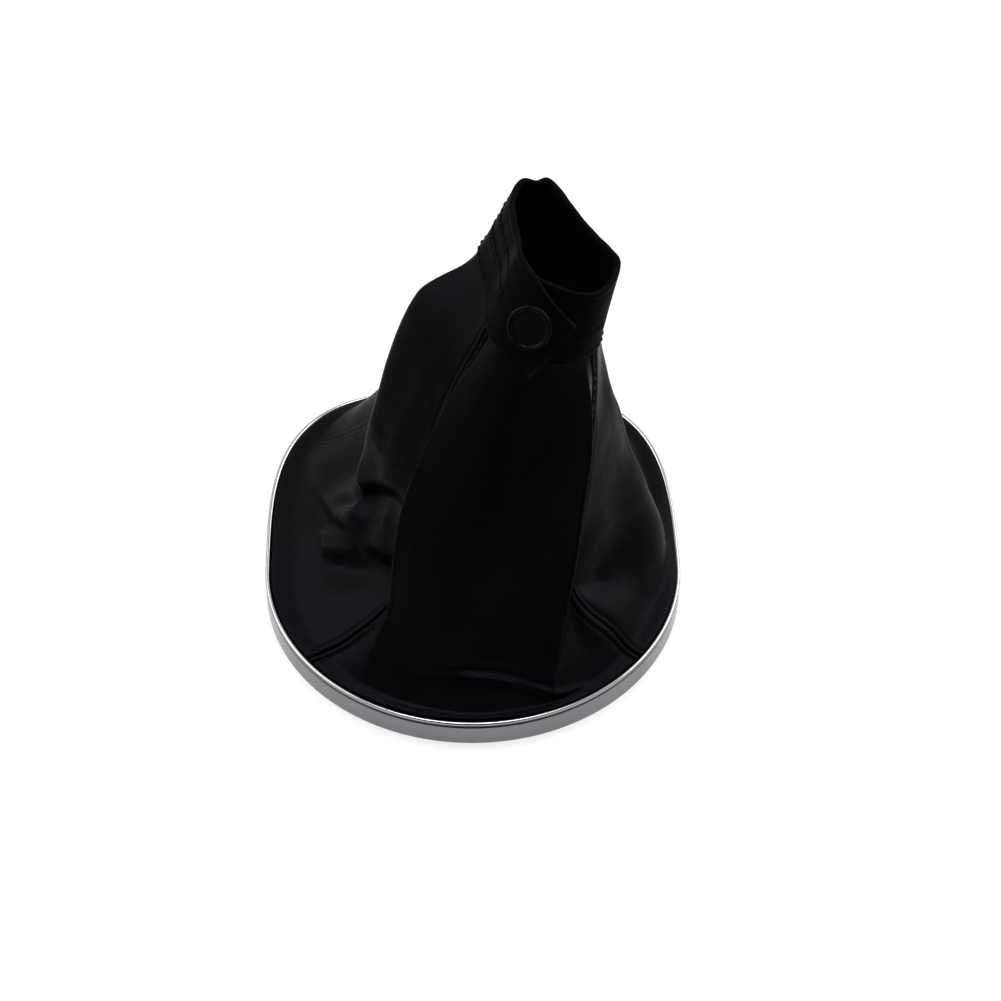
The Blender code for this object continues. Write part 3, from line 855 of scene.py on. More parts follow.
def near_line(points: Points, line: Points, reach: float) -> tuple[np.ndarray, ...]:
    """How points lie to a line through space.

    Args:
        points: The points, one a row.
        line: The line's points.
        reach: How far from the line a point may be.

    Returns:
        The rows of the points within reach, their distances, their shares of the way along, and
        the vectors from the line to them with the line's directions.
    """
    low, high = line.min(0) - reach, line.max(0) + reach
    rows = np.flatnonzero(((points >= low) & (points <= high)).all(1))
    near = points[rows]
    best = np.full(len(rows), np.inf)
    share = np.zeros(len(rows))
    offset = np.zeros((len(rows), 3))
    heading = np.zeros((len(rows), 3))
    steps = np.diff(line, axis=0)
    lengths = np.linalg.norm(steps, axis=1)
    travelled = np.concatenate([[0.0], np.cumsum(lengths)])
    for index, (start, step, length) in enumerate(zip(line, steps, lengths)):
        local = np.clip((near - start) @ step / max(length * length, 1e-18), 0.0, 1.0)
        away = near - start - local[:, None] * step
        distance = np.linalg.norm(away, axis=1)
        closer = distance < best
        best[closer] = distance[closer]
        share[closer] = (travelled[index] + local[closer] * length) / travelled[-1]
        offset[closer] = away[closer]
        heading[closer] = step / max(length, 1e-9)
    kept = best < reach
    return rows[kept], best[kept], share[kept], offset[kept], heading[kept]


@dataclass(frozen=True)
class Wrinkle:
    """A raised or pressed line in the leather.

    Attributes:
        name: What the line is.
        path: The line as (column, level) of the fold rule.
        height: How far it stands out, less than 0 for a pressed line.
        left: How far it spreads to the left of its direction, seen from outside.
        right: How far it spreads to the right.
        sharpness: 2 for a round back, 1 for a sharp one.
    """

    name: str
    path: tuple[tuple[float, float], ...]
    height: float
    left: float
    right: float
    sharpness: float = 2.0


WRINKLES = (
    Wrinkle("beak_tip", ((14.02, 2.62), (14.0, 2.30), (13.7, 1.86), (13.25, 1.50)), 0.0005, 0.0010, 0.0030),
    Wrinkle("beak_pocket", ((13.3, 1.42), (13.66, 1.54), (14.35, 2.08), (15.0, 2.46), (15.8, 2.84)),
            -0.0036, 0.0040, 0.0038),
    Wrinkle("pocket_ridge", ((11.95, 0.20), (12.45, 0.72), (13.1, 1.10), (13.6, 1.32), (14.3, 1.64),
                             (14.7, 1.88), (15.15, 2.02), (15.6, 2.2)), 0.0015, 0.0050, 0.0036),
    Wrinkle("dark_band", ((12.9, 0.80), (13.3, 0.92), (13.9, 1.12), (14.5, 1.40), (15.0, 1.72)),
            -0.0010, 0.0026, 0.0036),
    Wrinkle("lobe_edge", ((13.7, 0.8), (14.4, 1.04), (14.85, 1.42), (15.1, 1.70)), 0.0014, 0.0036, 0.0012),
    Wrinkle("lobe_pocket", ((14.55, 0.84), (15.1, 1.42), (15.35, 1.82), (15.65, 2.02), (16.2, 2.3)),
            -0.0026, 0.0042, 0.0060),
    Wrinkle("patch", ((15.2, 2.6), (15.3, 2.2), (15.4, 1.95)), 0.0010, 0.0036, 0.0036),
    Wrinkle("left_crease_upper", ((14.45, 3.02), (14.9, 3.2), (15.4, 3.46)), -0.00025, 0.0007, 0.0014),
    Wrinkle("left_crease_middle", ((14.4, 2.80), (15.0, 3.03), (15.5, 3.24)), 0.00025, 0.0014, 0.0007),
    Wrinkle("left_crease_lower", ((14.5, 2.66), (15.1, 2.92), (15.6, 3.08)), -0.00025, 0.0007, 0.0018),
    Wrinkle("toe_crease", ((17.75, 1.14), (18.0, 1.12), (18.5, 1.14), (19.3, 1.06), (20.15, 0.76),
                           (20.9, 0.60), (21.6, 0.28), (22.1, 0.05)), 0.0014, 0.0016, 0.0012, 1.4),
    Wrinkle("toe_hollow", ((18.2, 1.34), (19.3, 1.26), (20.3, 0.98)), -0.0008, 0.0018, 0.0014),
    Wrinkle("right_low_dark", ((21.8, 2.8), (22.6, 2.40), (23.3, 1.86), (23.85, 1.40)),
            -0.0026, 0.0090, 0.0036),
    Wrinkle("right_face_fill", ((24.0, 1.7), (24.0, 2.4), (24.1, 3.0), (24.1, 3.8)), 0.0016, 0.0070, 0.0070),
    Wrinkle("right_ridge_pinch", ((25.0, 3.6), (25.0, 3.0), (25.0, 2.4), (25.0, 1.8)),
            0.0005, 0.0008, 0.0008),
    Wrinkle("right_edge_pinch", ((21.0, 0.5), (21.0, 2.0), (21.0, 3.4), (21.0, 4.3)), 0.0005, 0.0006, 0.0006),
    Wrinkle("left_edge_pinch", ((17.0, 0.9), (17.0, 2.0), (17.0, 3.0), (17.0, 3.7)), 0.0005, 0.0006, 0.0006),
    Wrinkle("right_low_swell", ((22.9, 1.2), (23.6, 1.05), (24.4, 1.1)), 0.0008, 0.0050, 0.0050),
)


class Carver:
    """Presses wrinkles and seams into a grid of the leather's face."""

    SPREAD = 2.6
    LINE_POINTS = 40
    FADE = 0.25

    def __init__(self, rule: FoldRule) -> None:
        """Takes the rule that the wrinkles' paths are given in."""
        self.rule = rule

    def path_points(self, path: tuple[tuple[float, float], ...]) -> Points:
        """Points in space along a path of the fold rule.

        Args:
            path: The path as (column, level).

        Returns:
            The points.
        """
        knots = np.array(path, float)
        reach = np.linspace(0, len(knots) - 1, self.LINE_POINTS)
        line = np.minimum(reach.astype(int), len(knots) - 2)
        share = (reach - line)[:, None]
        slopes = np.gradient(knots, axis=0)
        run = hermite(knots[line], knots[line + 1], slopes[line], slopes[line + 1], share)
        return self.rule.points(run[:, 0], np.clip(run[:, 1], 0, FoldRule.STAGES))

    def heights(self, grid: Points, normals: Points, wrinkle: Wrinkle) -> np.ndarray:
        """How far one wrinkle lifts each point of a grid.

        Args:
            grid: The points, levels by columns.
            normals: Their normals.
            wrinkle: The wrinkle.

        Returns:
            The lifts, as a grid.
        """
        lifts = np.zeros(grid.shape[0] * grid.shape[1])
        line = self.path_points(wrinkle.path)
        reach = self.SPREAD * max(wrinkle.left, wrinkle.right)
        rows, distance, share, offset, heading = near_line(grid.reshape(-1, 3), line, reach)
        outward = normals.reshape(-1, 3)[rows]
        side = (np.cross(outward, heading) * offset).sum(1)
        width = np.where(side > 0, wrinkle.left, wrinkle.right)
        fade = ease(share / self.FADE) * ease((1 - share) / self.FADE)
        lifts[rows] = wrinkle.height * fade * np.exp(-(distance / width) ** wrinkle.sharpness)
        return lifts.reshape(grid.shape[:2])


def put(name: str, data: ID) -> Object:
    """A new object in the scene, at the origin."""
    made = bpy.data.objects.new(name, data)
    bpy.context.scene.collection.objects.link(made)
    return made


def mesh_object(name: str, points: Points, faces: list, materials: list[Material],
                indices: list[int] | None = None, sharp: float | None = None) -> Object:
    """A smooth-shaded mesh object at the origin.

    Args:
        name: The object's name.
        points: Its vertices.
        faces: Its faces as rows of vertex numbers.
        materials: Its materials.
        indices: The material number of each face.
        sharp: The angle in degrees from which an edge stays sharp.

    Returns:
        The object.
    """
    mesh = bpy.data.meshes.new(name)
    mesh.from_pydata([tuple(point) for point in points], [], faces)
    for material in materials:
        mesh.materials.append(material)
    if indices is not None:
        mesh.polygons.foreach_set("material_index", indices)
    mesh.validate()
    mesh.shade_smooth()
    if sharp is not None:
        mesh.set_sharp_from_angle(angle=math.radians(sharp))
    return put(name, mesh)


def store(mesh: Mesh, name: Field, values: np.ndarray, kind: str = "FLOAT") -> None:
    """Keeps a value for each vertex on a mesh.

    Args:
        mesh: The mesh.
        name: The attribute.
        values: One value or vector a vertex.
        kind: The attribute's data type.
    """
    attribute = mesh.attributes.new(name.value, kind, "POINT")
    key = {"FLOAT": "value", "FLOAT_VECTOR": "vector", "FLOAT_COLOR": "color"}[kind]
    attribute.data.foreach_set(key, np.asarray(values, np.float32).ravel())


def grid_faces(rows: int, columns: int, closed_rows: bool = False, closed_columns: bool = False,
               first: int = 0) -> np.ndarray:
    """The faces of a grid of vertices that are numbered row by row.

    Args:
        rows: How many rows.
        columns: How many columns.
        closed_rows: Whether the last row joins the first.
        closed_columns: Whether the last column joins the first.
        first: The number of the first vertex.

    Returns:
        The faces, in one turning sense.
    """
    number = first + np.arange(rows * columns).reshape(rows, columns)
    if closed_rows:
        number = np.concatenate([number, number[:1]])
    if closed_columns:
        number = np.concatenate([number, number[:, :1]], 1)
    corners = (number[:-1, :-1], number[:-1, 1:], number[1:, 1:], number[1:, :-1])
    return np.stack([corner.ravel() for corner in corners], -1)


def shell(name: str, outer: Points, inner: Points, face: Material, back: Material) -> Object:
    """A closed leather sheet between two grids of points.

    Args:
        name: The object's name.
        outer: The face's points, levels by columns.
        inner: The back's points.
        face: The material of the face and the edges.
        back: The material of the back.

    Returns:
        The object.
    """
    levels, columns = outer.shape[:2]
    number = np.arange(levels * columns).reshape(levels, columns)
    behind = number + levels * columns

    def rim(front: np.ndarray, rear: np.ndarray) -> np.ndarray:
        """The faces between an edge of the face and one of the back."""
        return np.stack([front[1:], front[:-1], rear[:-1], rear[1:]], -1)

    parts = [grid_faces(levels, columns), grid_faces(levels, columns, first=levels * columns)[:, ::-1],
             rim(number[0], behind[0]), rim(number[-1], behind[-1])[:, ::-1],
             rim(number[:, 0], behind[:, 0])[:, ::-1], rim(number[:, -1], behind[:, -1])]
    indices = np.concatenate([np.full(len(part), int(position == 1)) for position, part in enumerate(parts)])
    return mesh_object(name, np.concatenate([outer.reshape(-1, 3), inner.reshape(-1, 3)]),
                       np.concatenate(parts).tolist(), [face, back], indices.tolist())


@dataclass(frozen=True)
class Wires:
    """The sizes of a row of short bent wires, such as stitches.

    Attributes:
        pitch: From one wire to the next.
        length: A wire's length along the row.
        radius: The wire's radius.
        rise: How high its middle stands.
        sink: How deep its ends go.
        slant: Its turn off the row, in radians.
        unevenness: How much that turn varies.
        seed: The seed of the variation.
    """

    pitch: float
    length: float
    radius: float
    rise: float
    sink: float
    slant: float
    unevenness: float
    seed: int

    def inputs(self) -> dict[str, float]:
        """The sizes by the node tree's input names, such as Length."""
        return {item.name.title(): getattr(self, item.name) for item in fields(self)}


class WireRow:
    """Geometry Nodes that lay short bent wires along a path: stitches, or staples."""

    ARCH_STEPS = 7
    SECTION_SIDES = 6
    CONTROL_RISE = 2.5

    def __init__(self) -> None:
        """Builds the tree once, with named inputs for its sizes."""
        graph, inlet, outlet = group_tree("wire_row", {
            "Path": "Geometry",
            **{item.name.title(): "Int" if item.type is int else "Float"
               for item in fields(Wires)},
            "Material": "Material",
        }, {"Wires": "Geometry"}, "GeometryNodeTree")
        self.graph, self.source = graph, inlet.outputs
        source = self.source
        curve = graph.add("GeometryNodeMeshToCurve", {0: source["Path"]})
        spaced = graph.add("GeometryNodeResampleCurve",
                           {"Curve": curve.outputs[0], "Length": source["Pitch"]}, mode="LENGTH")
        placed = graph.add("GeometryNodeInstanceOnPoints", {
            "Points": spaced.outputs[0], "Instance": self._wire(),
            "Rotation": self._turned()})
        real = graph.add("GeometryNodeRealizeInstances", {0: placed.outputs[0]})
        smooth = graph.add("GeometryNodeSetShadeSmooth", {0: real.outputs[0]})
        dressed = graph.add("GeometryNodeSetMaterial", {0: smooth.outputs[0], "Material": source["Material"]})
        graph.feed(dressed.outputs[0], outlet.inputs[0])

    def _wire(self) -> NodeSocket:
        """One wire: an arch along X whose ends go below the surface.

        Returns:
            The wire's geometry.
        """
        graph, source = self.graph, self.source
        half = graph.math("MULTIPLY", source["Length"], 0.5)
        back = graph.math("MULTIPLY", half, -1.0)
        depth = graph.math("MULTIPLY", source["Sink"], -1.0)
        control = graph.math("MULTIPLY", source["Rise"], self.CONTROL_RISE)
        start, middle, end = (graph.add("ShaderNodeCombineXYZ", {"X": x, "Z": z}).outputs[0]
                              for x, z in ((back, depth), (0.0, control), (half, depth)))
        arch = graph.add("GeometryNodeCurveQuadraticBezier",
                         {"Resolution": self.ARCH_STEPS, "Start": start, "Middle": middle, "End": end})
        section = graph.add("GeometryNodeCurvePrimitiveCircle",
                            {"Resolution": self.SECTION_SIDES, "Radius": source["Radius"]})
        wire = graph.add("GeometryNodeCurveToMesh", {"Curve": arch.outputs[0],
                                                     "Profile Curve": section.outputs[0], "Fill Caps": True})
        return wire.outputs[0]

    def _turned(self) -> NodeSocket:
        """Each wire's rotation: along the path, upright on the surface and a little uneven.

        Returns:
            The rotation.
        """
        graph, source = self.graph, self.source
        tangent = graph.add("GeometryNodeInputTangent")
        outward = graph.add("GeometryNodeInputNamedAttribute", {"Name": Field.SURFACE_NORMAL.value},
                            data_type="FLOAT_VECTOR")
        run = graph.add("FunctionNodeAlignRotationToVector", {"Vector": tangent.outputs[0]}, axis="X")
        stand = graph.add("FunctionNodeAlignRotationToVector",
                          {"Rotation": run.outputs[0], "Vector": outward.outputs[0]},
                          axis="Z", pivot_axis="X")
        low = graph.math("MULTIPLY", source["Unevenness"], -1.0)
        loose = graph.add("FunctionNodeRandomValue", {"Min": low, "Max": source["Unevenness"],
                                                      "Seed": source["Seed"]}, data_type="FLOAT")
        loose_value = next(socket for socket in loose.outputs if socket.enabled)
        yaw = graph.add("ShaderNodeCombineXYZ", {"Z": graph.math("ADD", loose_value, source["Slant"])})
        turn = graph.add("FunctionNodeEulerToRotation", {0: yaw.outputs[0]})
        turned = graph.add("FunctionNodeRotateRotation", {0: stand.outputs[0], 1: turn.outputs[0]},
                           rotation_space="LOCAL")
        return turned.outputs[0]

    def lay(self, name: str, paths: list[tuple[Points, Points]], sizes: Wires,
            material: Material) -> Object:
        """Lays the wires along paths and bakes them to one plain mesh.

        Args:
            name: The object's name.
            paths: Points with the surface's normals, one pair a path.
            sizes: The wires' sizes.
            material: The wires' material.

        Returns:
            The baked object.
        """
        points = np.concatenate([path for path, _ in paths])
        normals = np.concatenate([directions for _, directions in paths])
        starts = np.cumsum([0, *(len(path) for path, _ in paths)]).tolist()
        edges = [(step, step + 1) for start, end in zip(starts, starts[1:]) for step in range(start, end - 1)]
        mesh = bpy.data.meshes.new(name)
        mesh.from_pydata([tuple(point) for point in points], edges, [])
        store(mesh, Field.SURFACE_NORMAL, normals, "FLOAT_VECTOR")
        guide = put(f"{name}_guide", mesh)
        modifier = guide.modifiers.new("wire_row", "NODES")
        modifier.node_group = self.graph.tree
        by_name = {item.name: item.identifier for item in self.graph.tree.interface.items_tree
                   if item.item_type == "SOCKET" and item.in_out == "INPUT"}
        for title, value in {**sizes.inputs(), "Material": material}.items():
            modifier[by_name[title]] = value
        return bake(guide, name)


def bake(guide: Object, name: str) -> Object:
    """The evaluated mesh of an object as a plain object in its place.

    Args:
        guide: The object with live modifiers, which is removed.
        name: The new object's name.

    Returns:
        The plain object.
    """
    ready = guide.evaluated_get(bpy.context.evaluated_depsgraph_get())
    mesh = bpy.data.meshes.new_from_object(ready)
    mesh.name = name
    bpy.data.objects.remove(guide)
    return put(name, mesh)


def settle(piece: Object, nodes: tuple[str, ...] = ()) -> None:
    """Rides a finished piece on the body, hides the CAD nodes that it replaces and logs its faces.

    Args:
        piece: The finished piece.
        nodes: The CAD nodes that it replaces.
    """
    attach(piece, "root")
    if nodes:
        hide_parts(*nodes)
    log.info("%s: %d faces", piece.name, len(piece.data.polygons))


# The object's parts


@dataclass(frozen=True)
class Panel:
    """One of the sewn leather panels.

    Attributes:
        node: The CAD node that it stands for.
        first_seam: The number of the seam it starts at.
        last_seam: The number of the seam it ends at.
        flat: The size of its cut shape.
        area: The area of its cut shape.
    """

    node: str
    first_seam: int
    last_seam: int
    flat: tuple[float, float]
    area: float


@dataclass
class LeatherBody:
    """The four sewn panels that hang in folds between ring and collar.

    Attributes:
        levels_per_stage: Rows of points between two stages of a fold line.
        columns_per_fold: Columns of points between two fold lines.
        seam_gap: The gap between two panels at a topstitched seam.
        plain_gap: The gap between two panels at a plain seam.
        seam_offsets: Extra columns beside a seam, by their distance from it.
        widest_step: The widest step between those columns, as a share of a fold.
        stitch_offset: How far a row of stitches lies from its seam.
        stitches: The sizes of the stitches.
        unsewn_rows: Rows of points without stitches at the ring and at the neck.
        groove_depth: How deep a seam's groove is.
        groove_width: How far the groove spreads.
        allowance_rise: How high the sewn allowance lifts the leather beside a seam.
        allowance_width: How far that lift spreads.
        stitch_dent: How deep a row of stitches presses the leather.
        stitch_dent_width: How far that dent spreads.
        plain_share: How much of all this a plain seam shows.
        roll_out: How far the foot rolls out over the ring's edge.
        roll_up: How far the rolled foot rises.
        roll_levels: The levels at which the roll begins, is full and ends.
        front_roll: The roll at the front as a share of that elsewhere.
        front_end: The level at which the roll ends at the front.
        front_spread: How many degrees the front reaches to each side.
        slack_large: The fineness and height of the leather's large slack.
        slack_small: The fineness and height of its small slack.
        slack_fade: The share of the rows over which the slack fades at ring and neck.
        foot_fade: The level up to which all relief fades towards the ring.
        sharpest: The bend that counts as a full ridge.
        ridge_gain: How much stronger the softened ridges are made.
        rule: The rule that the folds follow.
    """

    levels_per_stage: int = 32
    columns_per_fold: int = 14
    seam_gap: float = 0.0004
    plain_gap: float = 0.00003
    seam_offsets: tuple[float, ...] = (0.0003, 0.0006, 0.0010, 0.0014, 0.0018, 0.0021, 0.0025, 0.0030)
    widest_step: float = 0.07
    stitch_offset: float = 0.0021
    stitches: Wires = Wires(0.0031, 0.0023, 0.00026, 0.00018, 0.00030, 0.10, 0.07, 4)
    unsewn_rows: tuple[int, int] = (6, 3)
    groove_depth: float = 0.00042
    groove_width: float = 0.0004
    allowance_rise: float = 0.00045
    allowance_width: float = 0.0011
    stitch_dent: float = 0.00052
    stitch_dent_width: float = 0.00038
    plain_share: float = 0.08
    roll_out: float = 0.0026
    roll_up: float = 0.0008
    roll_levels: tuple[float, float, float] = (0.045, 0.065, 0.42)
    front_roll: float = 0.75
    front_end: float = 0.125
    front_spread: float = 48.0
    slack_large: tuple[float, float] = (70.0, 0.00028)
    slack_small: tuple[float, float] = (190.0, 0.00008)
    slack_fade: float = 0.12
    foot_fade: float = 0.12
    sharpest: float = 220.0
    ridge_gain: float = 1.6
    rule: FoldRule = field(default_factory=FoldRule)

    SEAMS = ("front_right_seam", "rear_right_seam", "rear_left_seam", "front_left_seam")
    TOPSTITCHED = ("front_right_seam", "front_left_seam")
    PANELS = (
        Panel("front_panel", 3, 0, (0.112, 0.140), 0.0096),
        Panel("right_panel", 0, 1, (0.096, 0.121), 0.0074),
        Panel("rear_panel", 1, 2, (0.112, 0.134), 0.0089),
        Panel("left_panel", 2, 3, (0.090, 0.143), 0.0093),
    )

    def seam_spread(self, seam: int, level: np.ndarray, side: int) -> np.ndarray:
        """How many columns make a metre square to a seam, at each level.

        Args:
            seam: The seam's fold line number.
            level: The levels.
            side: 1 for the left side, -1 for the right.

        Returns:
            Columns for each metre.
        """
        step = 0.02
        here = self.rule.points(seam, level)
        beside = (self.rule.points(seam + side * step, level) - here) / step
        heading = unit(np.gradient(here, axis=0))
        return 1.0 / np.maximum(np.linalg.norm(np.cross(beside, heading), axis=-1), 1e-4)

    def column_numbers(self, level: np.ndarray) -> tuple[np.ndarray, dict[int, dict[int, int]]]:
        """The fold rule's column number at each point of the grid, denser beside the seams.

        Args:
            level: The levels.

        Returns:
            The numbers, levels by columns, and for each seam the grid column of each offset, less
            than 0 for the right side.
        """
        seams = [FOLD_NAMES.index(name) for name in self.SEAMS]
        blocks, marks, count = [], {seam: {} for seam in seams}, 0
        even = np.arange(self.columns_per_fold) / self.columns_per_fold
        steps = len(self.seam_offsets)
        for line in range(len(FOLDS)):
            shares = np.repeat(even[None], len(level), 0)
            following = line + 1
            if line in seams:
                near = self.near_seam(line, level, 1)
                rest = near[:, -1:] + (1 - near[:, -1:]) * even[None, 1:]
                shares = np.concatenate([np.zeros((len(level), 1)), near, rest], 1)
                marks[line].update({step: count + step for step in range(steps + 1)})
            elif following in seams:
                near = 1 - self.near_seam(following, level, -1)
                shares = np.concatenate([near[:, -1:] * even[None], near[:, ::-1]], 1)
                end = count + shares.shape[1]
                marks[following].update({-step: end - step for step in range(1, steps + 1)})
            blocks.append(line + shares)
            count += shares.shape[1]
        return np.concatenate(blocks, 1), marks

    def near_seam(self, seam: int, level: np.ndarray, side: int) -> np.ndarray:
        """The columns beside a seam as shares of the fold there, levels by columns, outwards."""
        widest = self.widest_step * np.arange(1, len(self.seam_offsets) + 1)
        return np.minimum(self.seam_spread(seam, level, side)[:, None] * np.array(self.seam_offsets), widest)

    def seam_lifts(self, grid: Points, seam_columns: dict[str, int]) -> np.ndarray:
        """How the sewn allowances lift the leather beside the seams and the stitches press it.

        Args:
            grid: The face's points.
            seam_columns: The grid column of each seam.

        Returns:
            The lifts, as a grid.
        """
        lifts = np.zeros(grid.shape[0] * grid.shape[1])
        reach = self.stitch_offset + 3 * self.allowance_width
        for name, column in seam_columns.items():
            share = 1.0 if name in self.TOPSTITCHED else self.plain_share
            rows, distance, _, _, _ = near_line(grid.reshape(-1, 3), grid[:, column], reach)
            swell = np.exp(-((distance - self.stitch_offset * 0.5) / self.allowance_width) ** 2)
            groove = np.exp(-(distance / self.groove_width) ** 2)
            dent = np.exp(-((distance - self.stitch_offset) / self.stitch_dent_width) ** 2)
            lifts[rows] += share * (self.allowance_rise * swell - self.groove_depth * groove
                                    - self.stitch_dent * dent)
        return lifts.reshape(grid.shape[:2])

    def slack(self, grid: Points) -> np.ndarray:
        """Low uneven swells all over the leather, fading towards ring and neck.

        Args:
            grid: The face's points.

        Returns:
            The lifts, as a grid.
        """
        share = np.linspace(0, 1, len(grid))
        fade = ease(share / self.slack_fade) * ease((1 - share) / self.slack_fade)
        swells = (self.slack_large, self.slack_small)
        swell = np.array([[sum(noise.noise(Vector(point) * fineness) * height for fineness, height in swells)
                           for point in row] for row in grid])
        return swell * fade[:, None]

    def hem(self, bearing: np.ndarray) -> Points:
        """The hem: turned in under the frame, then up between frame and ring.

        Args:
            bearing: The bearing of each column at the ring.

        Returns:
            The hem's points, levels by columns, from its free edge up.
        """
        corner = LEATHER
        upright = REST_Z - HEM_LIFT - corner * 2
        turned_in = HEM_WIDTH * np.linspace(1, 0.05, 6)
        profile = [(LEATHER_INSET + corner + reach, HEM_LIFT) for reach in turned_in]
        for angle in np.radians(np.linspace(0, 90, 7)):
            profile.append((LEATHER_INSET + corner * (1 - math.sin(angle)),
                            HEM_LIFT + corner * (1 - math.cos(angle))))
        for share in np.linspace(0.2, 0.9, 6):
            profile.append((LEATHER_INSET, HEM_LIFT + corner + upright * share))
        return np.array([RING.level_line(bearing, inset, height) for inset, height in profile])

    def rolled(self, grid: Points, level: np.ndarray) -> Points:
        """The face with its foot rolled out over the ring's inner edge.

        Args:
            grid: The face's points.
            level: The level of each row.

        Returns:
            The moved points.
        """
        begin, crest, end = self.roll_levels
        bearing = RING.bearing_of(grid)
        front = np.exp(-((bearing + 90) / self.front_spread) ** 2)
        end = end - (end - self.front_end) * front
        share = ease(level[:, None] / begin) * (1 - ease((level[:, None] - crest) / (end - crest)))
        outward = unit(RING.edge(bearing, 0.0) - RING.edge(bearing, 0.001))
        amount = (share * (1 - (1 - self.front_roll) * front))[..., None]
        rise = np.full((*outward.shape[:-1], 1), self.roll_up)
        return grid + np.concatenate([outward * self.roll_out, rise], -1) * amount

    def face(self) -> tuple[Points, Points, dict[int, dict[int, int]], int]:
        """The whole face with its hem, wrinkles and seams.

        Returns:
            The points, their normals, the seams' grid columns and the number of hem rows.
        """
        level = np.linspace(0, FoldRule.STAGES, FoldRule.STAGES * self.levels_per_stage + 1)
        numbers, marks = self.column_numbers(level)
        grid = self.rolled(self.rule.points(numbers, level[:, None]), level)
        normals = blurred(grid_normals(grid), 2)
        carver = Carver(self.rule)
        seam_columns = {FOLD_NAMES[seam]: marks[seam][0] for seam in marks}
        lifts = self.seam_lifts(grid, seam_columns) + self.slack(grid)
        for wrinkle in WRINKLES:
            lifts += carver.heights(grid, normals, wrinkle)
        lifts *= ease(level / self.foot_fade)[:, None]
        grid = grid + unit(normals) * lifts[..., None]
        hem = self.hem(RING.bearing_of(grid[0]))
        whole = np.concatenate([hem, grid])
        return whole, grid_normals(whole), marks, len(hem)

    def ridges(self, grid: Points, normals: Points) -> np.ndarray:
        """How strongly each point stands out from its neighbours, from 0 to 1.

        Args:
            grid: The face's points.
            normals: Their normals.

        Returns:
            The mask, as a grid.
        """
        middle = (np.roll(grid, 1, 1) + np.roll(grid, -1, 1)) / 2 - grid
        width = np.linalg.norm(np.roll(grid, 1, 1) - np.roll(grid, -1, 1), axis=-1)
        bend = -(middle * normals).sum(-1) / np.maximum(width, 1e-5) ** 2
        soft = blurred(np.clip(bend / self.sharpest, 0, 1)[..., None], 2)[..., 0]
        return np.clip(soft * self.ridge_gain, 0, 1)

    def build(self, wardrobe: Wardrobe, wires: WireRow) -> None:
        """Builds and dresses the panels and their stitches.

        Args:
            wardrobe: The finishes.
            wires: The stitch maker.
        """
        grid, normals, marks, hem_rows = self.face()
        soft_normals = unit(blurred(normals, 6))
        ridge = self.ridges(grid, normals)
        leather, flesh = wardrobe.of(Wardrobe.LEATHER), wardrobe.of(Wardrobe.FLESH)
        columns = [marks[FOLD_NAMES.index(name)][0] for name in self.SEAMS]
        count = grid.shape[1]
        for panel in self.PANELS:
            first, last = columns[panel.first_seam], columns[panel.last_seam]
            chosen = np.arange(first, last + 1 if last > first else last + count + 1) % count
            outer = grid[:, chosen].copy()
            for edge, beside, seam in ((0, 1, panel.first_seam), (-1, -2, panel.last_seam)):
                gap = self.seam_gap if self.SEAMS[seam] in self.TOPSTITCHED else self.plain_gap
                outer[:, edge] += unit(outer[:, beside] - outer[:, edge]) * gap / 2
            inner = outer - soft_normals[:, chosen] * LEATHER
            piece = shell(f"{panel.node}_leather", outer, inner, leather, flesh)
            # The ridge mask paints the highlight on the face; the back gets none.
            mask = ridge[:, chosen].ravel()
            store(piece.data, Field.RIDGE, np.concatenate([mask, mask * 0]))
            settle(piece, (panel.node,))
        offset = self.seam_offsets.index(self.stitch_offset) + 1
        rows = slice(hem_rows + self.unsewn_rows[0], len(grid) - self.unsewn_rows[1])
        seams = [marks[FOLD_NAMES.index(name)] for name in self.TOPSTITCHED]
        beside = [seam[side] for seam in seams for side in (offset, -offset)]
        paths = [(grid[rows, column], normals[rows, column]) for column in beside]
        settle(wires.lay("seam_stitches", paths, self.stitches, wardrobe.of(Wardrobe.THREAD)))


@dataclass(frozen=True)
class Tuck:
    """A pressed or padded line along the collar.

    Attributes:
        name: What it is.
        height: Its height as a share of the way from neck to mouth.
        start: The bearing along the band at which it starts.
        end: The bearing at which it ends.
        rise: How far it stands out, less than 0 for a pressed line.
        width: How far it spreads.
    """

    name: str
    height: float
    start: float
    end: float
    rise: float
    width: float


